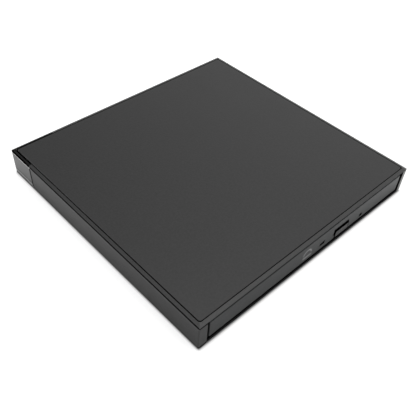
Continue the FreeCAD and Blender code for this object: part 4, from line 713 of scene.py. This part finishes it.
def makeLeadScrew():
    # Along the axis s and round it by the angle v the radius is the core, raised to the thread
    # where s / pitch + v / turn is near a half, and stepped down to the journals at both ends.
    look = screwLook
    s = np.arange(look["start"], look["end"] + 1e-6, look["step"])      # with the end in it
    steps = np.array([look["shoulder"], look["tip"]])
    halfStep = look["shoulderWidth"] / 2
    s = np.sort(np.concatenate([s, steps - halfStep, steps + halfStep]))
    v = 2 * np.pi * np.arange(look["sides"]) / look["sides"]
    phase = (s[:, None] / look["pitch"] + v[None] / (2 * np.pi)) % 1
    away = np.abs(phase - 0.5) * look["pitch"]
    ridge = np.clip((look["ridge"] / 2 + look["flank"] / 2 - away) / look["flank"], 0, 1)
    inside = np.minimum(s - look["threadStart"], look["threadEnd"] - s)
    fade = np.clip(inside / look["fade"], 0, 1)
    radius = look["core"] + (look["thread"] - look["core"]) * ridge * fade[:, None]
    radius[(s < look["shoulder"]) | (s > look["tip"])] = look["journal"]
    root = math.sqrt(0.5)       # the axis runs at 45 degrees
    along, aside, up = (np.array(d) for d in ((root, root, 0), (-root, root, 0), (0, 0, 1.0)))
    spindle = np.array([*look["spindle"], look["height"]])
    centre = spindle + look["offset"] * aside + s[:, None] * along
    grid = centre[:, None] + roundSection(radius[..., None], look["sides"], aside, up)
    points, faces = wrappedGrid(grid * mm)
    piece = addPiece("leadScrewThread", points, faces, slotMaterials["rod_steel"])
    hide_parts("lead_screw")
    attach(piece, "feed_screw")


ribbonLook = {
    "left": -34.0, "right": -18.0, "thick": 0.12,
    "lowZ": 3.41, "highZ": 4.51, "bow": 0.12,               # heights of the two runs, and the rise
    "fold": -27.5, "lowEnd": 42.5, "highEnd": 38.0,         # places along Y
    "lowSteps": 60, "foldSteps": 13, "highSteps": 90,
    "film": grey(226, (0.97, 0.99, 1)), "conductor": grey(196, (0.99, 1, 1)), "lines": 30,
    "stiffener": grey(120, (0.35, 0.65, 1.6)), "stiffShare": 0.07,      # share of the length
    "roughness": 0.34, "depth": 0.012,
}


def makeStrip(name, line, material):
    # The flat strip whose middle follows the line of (y, z): its section is a thin rectangle
    # across X.
    look = ribbonLook
    tangent = np.gradient(line, axis=0)
    tangent /= np.linalg.norm(tangent, axis=1)[:, None]
    normal = np.stack([-tangent[:, 1], tangent[:, 0]], axis=1)
    sides = [(look["left"], 1), (look["right"], 1), (look["right"], -1), (look["left"], -1)]
    grid = np.empty((len(line), 4, 3))
    for column, (x, side) in enumerate(sides):
        grid[:, column, 0] = x
        grid[:, column, 1:] = line + side * normal * look["thick"] / 2
    points, faces = wrappedGrid(grid * mm)
    piece = addPiece(name, points, faces, material, smooth=False)
    # UV: u is the share of the length from the first point, v the share of the width.
    run = np.concatenate([[0], np.cumsum(np.linalg.norm(np.diff(line, axis=0), axis=1))])
    u = np.concatenate([np.repeat(run / run[-1], 4), [0, 1]])
    v = np.concatenate([np.tile([0, 1, 1, 0], len(line)), [0.5, 0.5]])
    layer = piece.data.uv_layers.new(name="strip")
    corner = np.empty(len(piece.data.loops), int)
    piece.data.loops.foreach_get("vertex_index", corner)
    layer.data.foreach_set("uv", np.stack([u[corner], v[corner]], axis=1).ravel())
    return piece


def makeRibbon():
    # A lower run fixed to the case with the fold at its front, y = fold + r cos a and
    # z = lowZ + r + r sin a, and an upper run that rises by a sine squared.
    look = ribbonLook
    material = ribbonMaterial("ribbonFilm", look)
    y = np.linspace(look["lowEnd"], look["fold"], look["lowSteps"])
    a = np.linspace(-0.5 * np.pi, -1.5 * np.pi, look["foldSteps"])
    radius = (look["highZ"] - look["lowZ"]) / 2
    fold = np.stack([look["fold"] + radius * np.cos(a), look["lowZ"] + radius + radius * np.sin(a)],
                    axis=1)
    lower = np.concatenate([np.stack([y, np.full_like(y, look["lowZ"])], axis=1), fold[1:]])
    fixedRun = makeStrip("ribbonFixedRun", lower, material)
    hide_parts("ribbon_cable")
    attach(fixedRun, "case")
    y = np.linspace(look["highEnd"], look["fold"], look["highSteps"])
    share = (y - look["fold"]) / (look["highEnd"] - look["fold"])
    upper = np.stack([y, look["highZ"] + look["bow"] * np.sin(np.pi * share) ** 2], axis=1)
    movingRun = makeStrip("ribbonMovingRun", upper, material)
    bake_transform(movingRun)


makeSpring()
makeLeadScrew()
makeRibbon()
print("spring, lead screw and ribbon made")


stageLook = {       # all sizes and places here are in metres
    "floorSize": 4.0,
    "floorColour": 0.63,
    "footprint": (0.0681, 0.0663),          # half width and depth of the case where it stands
    # painted shadow on the floor round the footprint, in its colour
    "paintedContactShadow": (0.5, 0.0, 0.0008),     # share of the colour under the edge, and where it ends
    # the floor's glow for the camera, none at the footprint: a painted shadow round it
    "cameraGlow": (0.62, 0.0, 0.0015),      # strength, and where it starts and is full
    # a glow of the floor that only reflections see: a painted reflection, with a painted shade at the
    # footprint
    "paintedReflectionGlow": (1.0, 0.0, 0.008),
    # where the glow in reflections begins along x and y, what a metre past that adds, and the most
    "glossBegin": (-0.023, -0.045),
    "glossRate": (4.4, 3.0),
    "glossMost": 0.5,
    # the height of a direction, and the light from there
    "worldSteps": [(0.0, 0.48), (0.45, 0.62), (0.6, 0.68), (0.72, 0.56), (0.86, 0.95), (1.0, 1.5)],
    "worldLean": (1.3, -1.0),       # how much brighter the sky is to the right and to the front
    "worldRange": (0.4, 1.4),       # the least and the most that this lean leaves of the light
}


def footprintDistance(tree, place):
    # Distance from the footprint: the length of what |x| and |y| have over its half sides.
    folded = vectorNode(tree, "ABSOLUTE", vectorNode(tree, "MULTIPLY", place, (1, 1, 0)))
    over = vectorNode(tree, "SUBTRACT", folded, stageLook["footprint"] + (0,))
    return vectorNode(tree, "LENGTH", vectorNode(tree, "MAXIMUM", over, (0, 0, 0)))


def glossShare(tree, place):
    # How much of the floor's painted reflection glow a reflection takes: it grows to the right and
    # to the rear.
    shares = []
    for axis, begin, rate in zip(splitXYZ(tree, place), stageLook["glossBegin"],
                                 stageLook["glossRate"]):
        beyond = mathNode(tree, "MAXIMUM", mathNode(tree, "SUBTRACT", axis, begin), 0.0)
        shares.append(mathNode(tree, "MULTIPLY", beyond, rate))
    return mathNode(tree, "MINIMUM", mathNode(tree, "ADD", *shares), stageLook["glossMost"])


def makeFloor():
    # A flat floor far wider than the object, white to the camera, which keeps the object's shadow.
    # It adds a painted shadow round the footprint and a painted reflection that only reflections see.
    half = stageLook["floorSize"] / 2
    mesh = bpy.data.meshes.new("floor")
    corners = [(-half, -half, 0), (half, -half, 0), (half, half, 0), (-half, half, 0)]
    mesh.from_pydata(corners, [], [(0, 1, 2, 3)])
    floor = bpy.data.objects.new("floor", mesh)
    bpy.context.scene.collection.objects.link(floor)
    material = bpy.data.materials.new("floorPaper")
    material.use_nodes = True
    mesh.materials.append(material)
    tree = material.node_tree
    tree.nodes.clear()
    place = objectPoint(tree)
    distance = footprintDistance(tree, place)

    colour = stageLook["floorColour"]
    # painted contact shadow: the floor's colour darker near the footprint
    share, start, end = stageLook["paintedContactShadow"]
    shade = rangeNode(tree, distance, colour * share, colour, start, end, "SMOOTHSTEP")
    diffuse = addNode(tree, "ShaderNodeBsdfDiffuse")
    feed(tree, shade, diffuse.inputs["Color"])

    path = addNode(tree, "ShaderNodeLightPath").outputs
    # the camera's white glow, fading to none at the footprint: a painted shadow
    strength, start, end = stageLook["cameraGlow"]
    cameraGlow = rangeNode(tree, distance, 0.0, strength, start, end, "SMOOTHSTEP")
    seen = mathNode(tree, "MAXIMUM", path["Is Camera Ray"], path["Is Transmission Ray"])
    # painted reflection: a glow that only glossy rays see, none at the footprint
    strength, start, end = stageLook["paintedReflectionGlow"]
    paintedReflectionGlow = rangeNode(tree, distance, 0.0, strength, start, end, "SMOOTHSTEP")
    paintedReflectionGlow = mathNode(tree, "MULTIPLY", paintedReflectionGlow, glossShare(tree, place))
    glow = addNode(tree, "ShaderNodeEmission")
    both = mathNode(tree, "ADD", mathNode(tree, "MULTIPLY", cameraGlow, seen),
                    mathNode(tree, "MULTIPLY", paintedReflectionGlow, path["Is Glossy Ray"]))
    feed(tree, both, glow.inputs["Strength"])

    total = addNode(tree, "ShaderNodeAddShader")
    feed(tree, diffuse.outputs[0], total.inputs[0])
    feed(tree, glow.outputs[0], total.inputs[1])
    output = addNode(tree, "ShaderNodeOutputMaterial")
    feed(tree, total.outputs[0], output.inputs["Surface"])


def makeWorld():
    # White to the camera. For the object, light that changes with the height of the direction.
    world = bpy.data.worlds.new("studio")
    bpy.context.scene.world = world
    world.use_nodes = True
    tree = world.node_tree
    tree.nodes.clear()
    x, y, z = splitXYZ(tree, addNode(tree, "ShaderNodeTexCoord").outputs["Generated"])
    steps = stageLook["worldSteps"]
    most = max(light for height, light in steps)
    ramp = addNode(tree, "ShaderNodeValToRGB")
    stops = ramp.color_ramp.elements
    while len(stops) < len(steps):
        stops.new(1.0)
    for stop, (height, light) in zip(stops, steps):
        stop.position = height
        stop.color = (light / most,) * 3 + (1,)
    feed(tree, z, ramp.inputs["Fac"])

    right, back = stageLook["worldLean"]
    lean = mathNode(tree, "ADD", mathNode(tree, "MULTIPLY", x, right),
                    mathNode(tree, "MULTIPLY", y, back))
    lean = mathNode(tree, "ADD", lean, 1.0)
    least, greatest = stageLook["worldRange"]
    lean = mathNode(tree, "MINIMUM", mathNode(tree, "MAXIMUM", lean, least), greatest)
    studio = addNode(tree, "ShaderNodeBackground")
    feed(tree, ramp.outputs[0], studio.inputs["Color"])
    feed(tree, mathNode(tree, "MULTIPLY", lean, most), studio.inputs["Strength"])

    white = addNode(tree, "ShaderNodeBackground")
    white.inputs["Color"].default_value = (1, 1, 1, 1)
    path = addNode(tree, "ShaderNodeLightPath")
    choose = addNode(tree, "ShaderNodeMixShader")
    for socket, source in zip(choose.inputs, (path.outputs["Is Camera Ray"], studio.outputs[0],
                                              white.outputs[0])):
        feed(tree, source, socket)
    output = addNode(tree, "ShaderNodeOutputWorld")
    feed(tree, choose.outputs[0], output.inputs["Surface"])


lampLooks = {       # in metres and watts
    "topPanel": dict(place=(0.1, 0.1, 1.3), size=1.0, power=3.0),
    "leftRearPanel": dict(place=(-0.45, 0.5, 0.13), size=0.3, power=1.6),
}


def makeLamps():
    # Round area lamps that point at the origin.
    for name, look in lampLooks.items():
        data = bpy.data.lights.new(name, "AREA")
        data.shape = "DISK"
        data.size = look["size"]
        data.energy = look["power"]
        lamp = bpy.data.objects.new(name, data)
        bpy.context.scene.collection.objects.link(lamp)
        lamp.location = look["place"]
        lamp.rotation_mode = "QUATERNION"
        lamp.rotation_quaternion = (-Vector(look["place"])).to_track_quat("-Z", "Y")


cameraLook = {
    # The photo's viewpoint, fitted to the case's corners, and the lens as a share of the width.
    "place": (-150.226, -145.062, 189.170),
    "right": (0.72758101, -0.68423086, 0.04953784),
    "down": (-0.45869773, -0.53891062, -0.70652087),
    "forward": (0.51011985, 0.49132827, -0.70595628),
    "focal": 563.008 / 416,
    "sensor": 36.0,
    "clipStart": 0.01,      # metres
}


def makeCamera():
    data = bpy.data.cameras.new("photoCamera")
    data.sensor_width = cameraLook["sensor"]
    data.lens = cameraLook["sensor"] * cameraLook["focal"]
    data.clip_start = cameraLook["clipStart"]
    camera = bpy.data.objects.new("photoCamera", data)
    bpy.context.scene.collection.objects.link(camera)
    right, down, forward = (Vector(cameraLook[k]) for k in ("right", "down", "forward"))
    turn = Matrix((right, -down, -forward)).transposed()
    camera.matrix_world = Matrix.Translation(Vector(cameraLook["place"]) * mm) @ turn.to_4x4()
    bpy.context.scene.camera = camera


makeFloor()
makeWorld()
makeLamps()
makeCamera()
bpy.context.scene.view_settings.view_transform = "Standard"
for tree in [*bpy.data.node_groups, *(m.node_tree for m in bpy.data.materials if m.use_nodes),
             bpy.context.scene.world.node_tree]:
    arrange(tree)
print("stage, lamps and camera made")
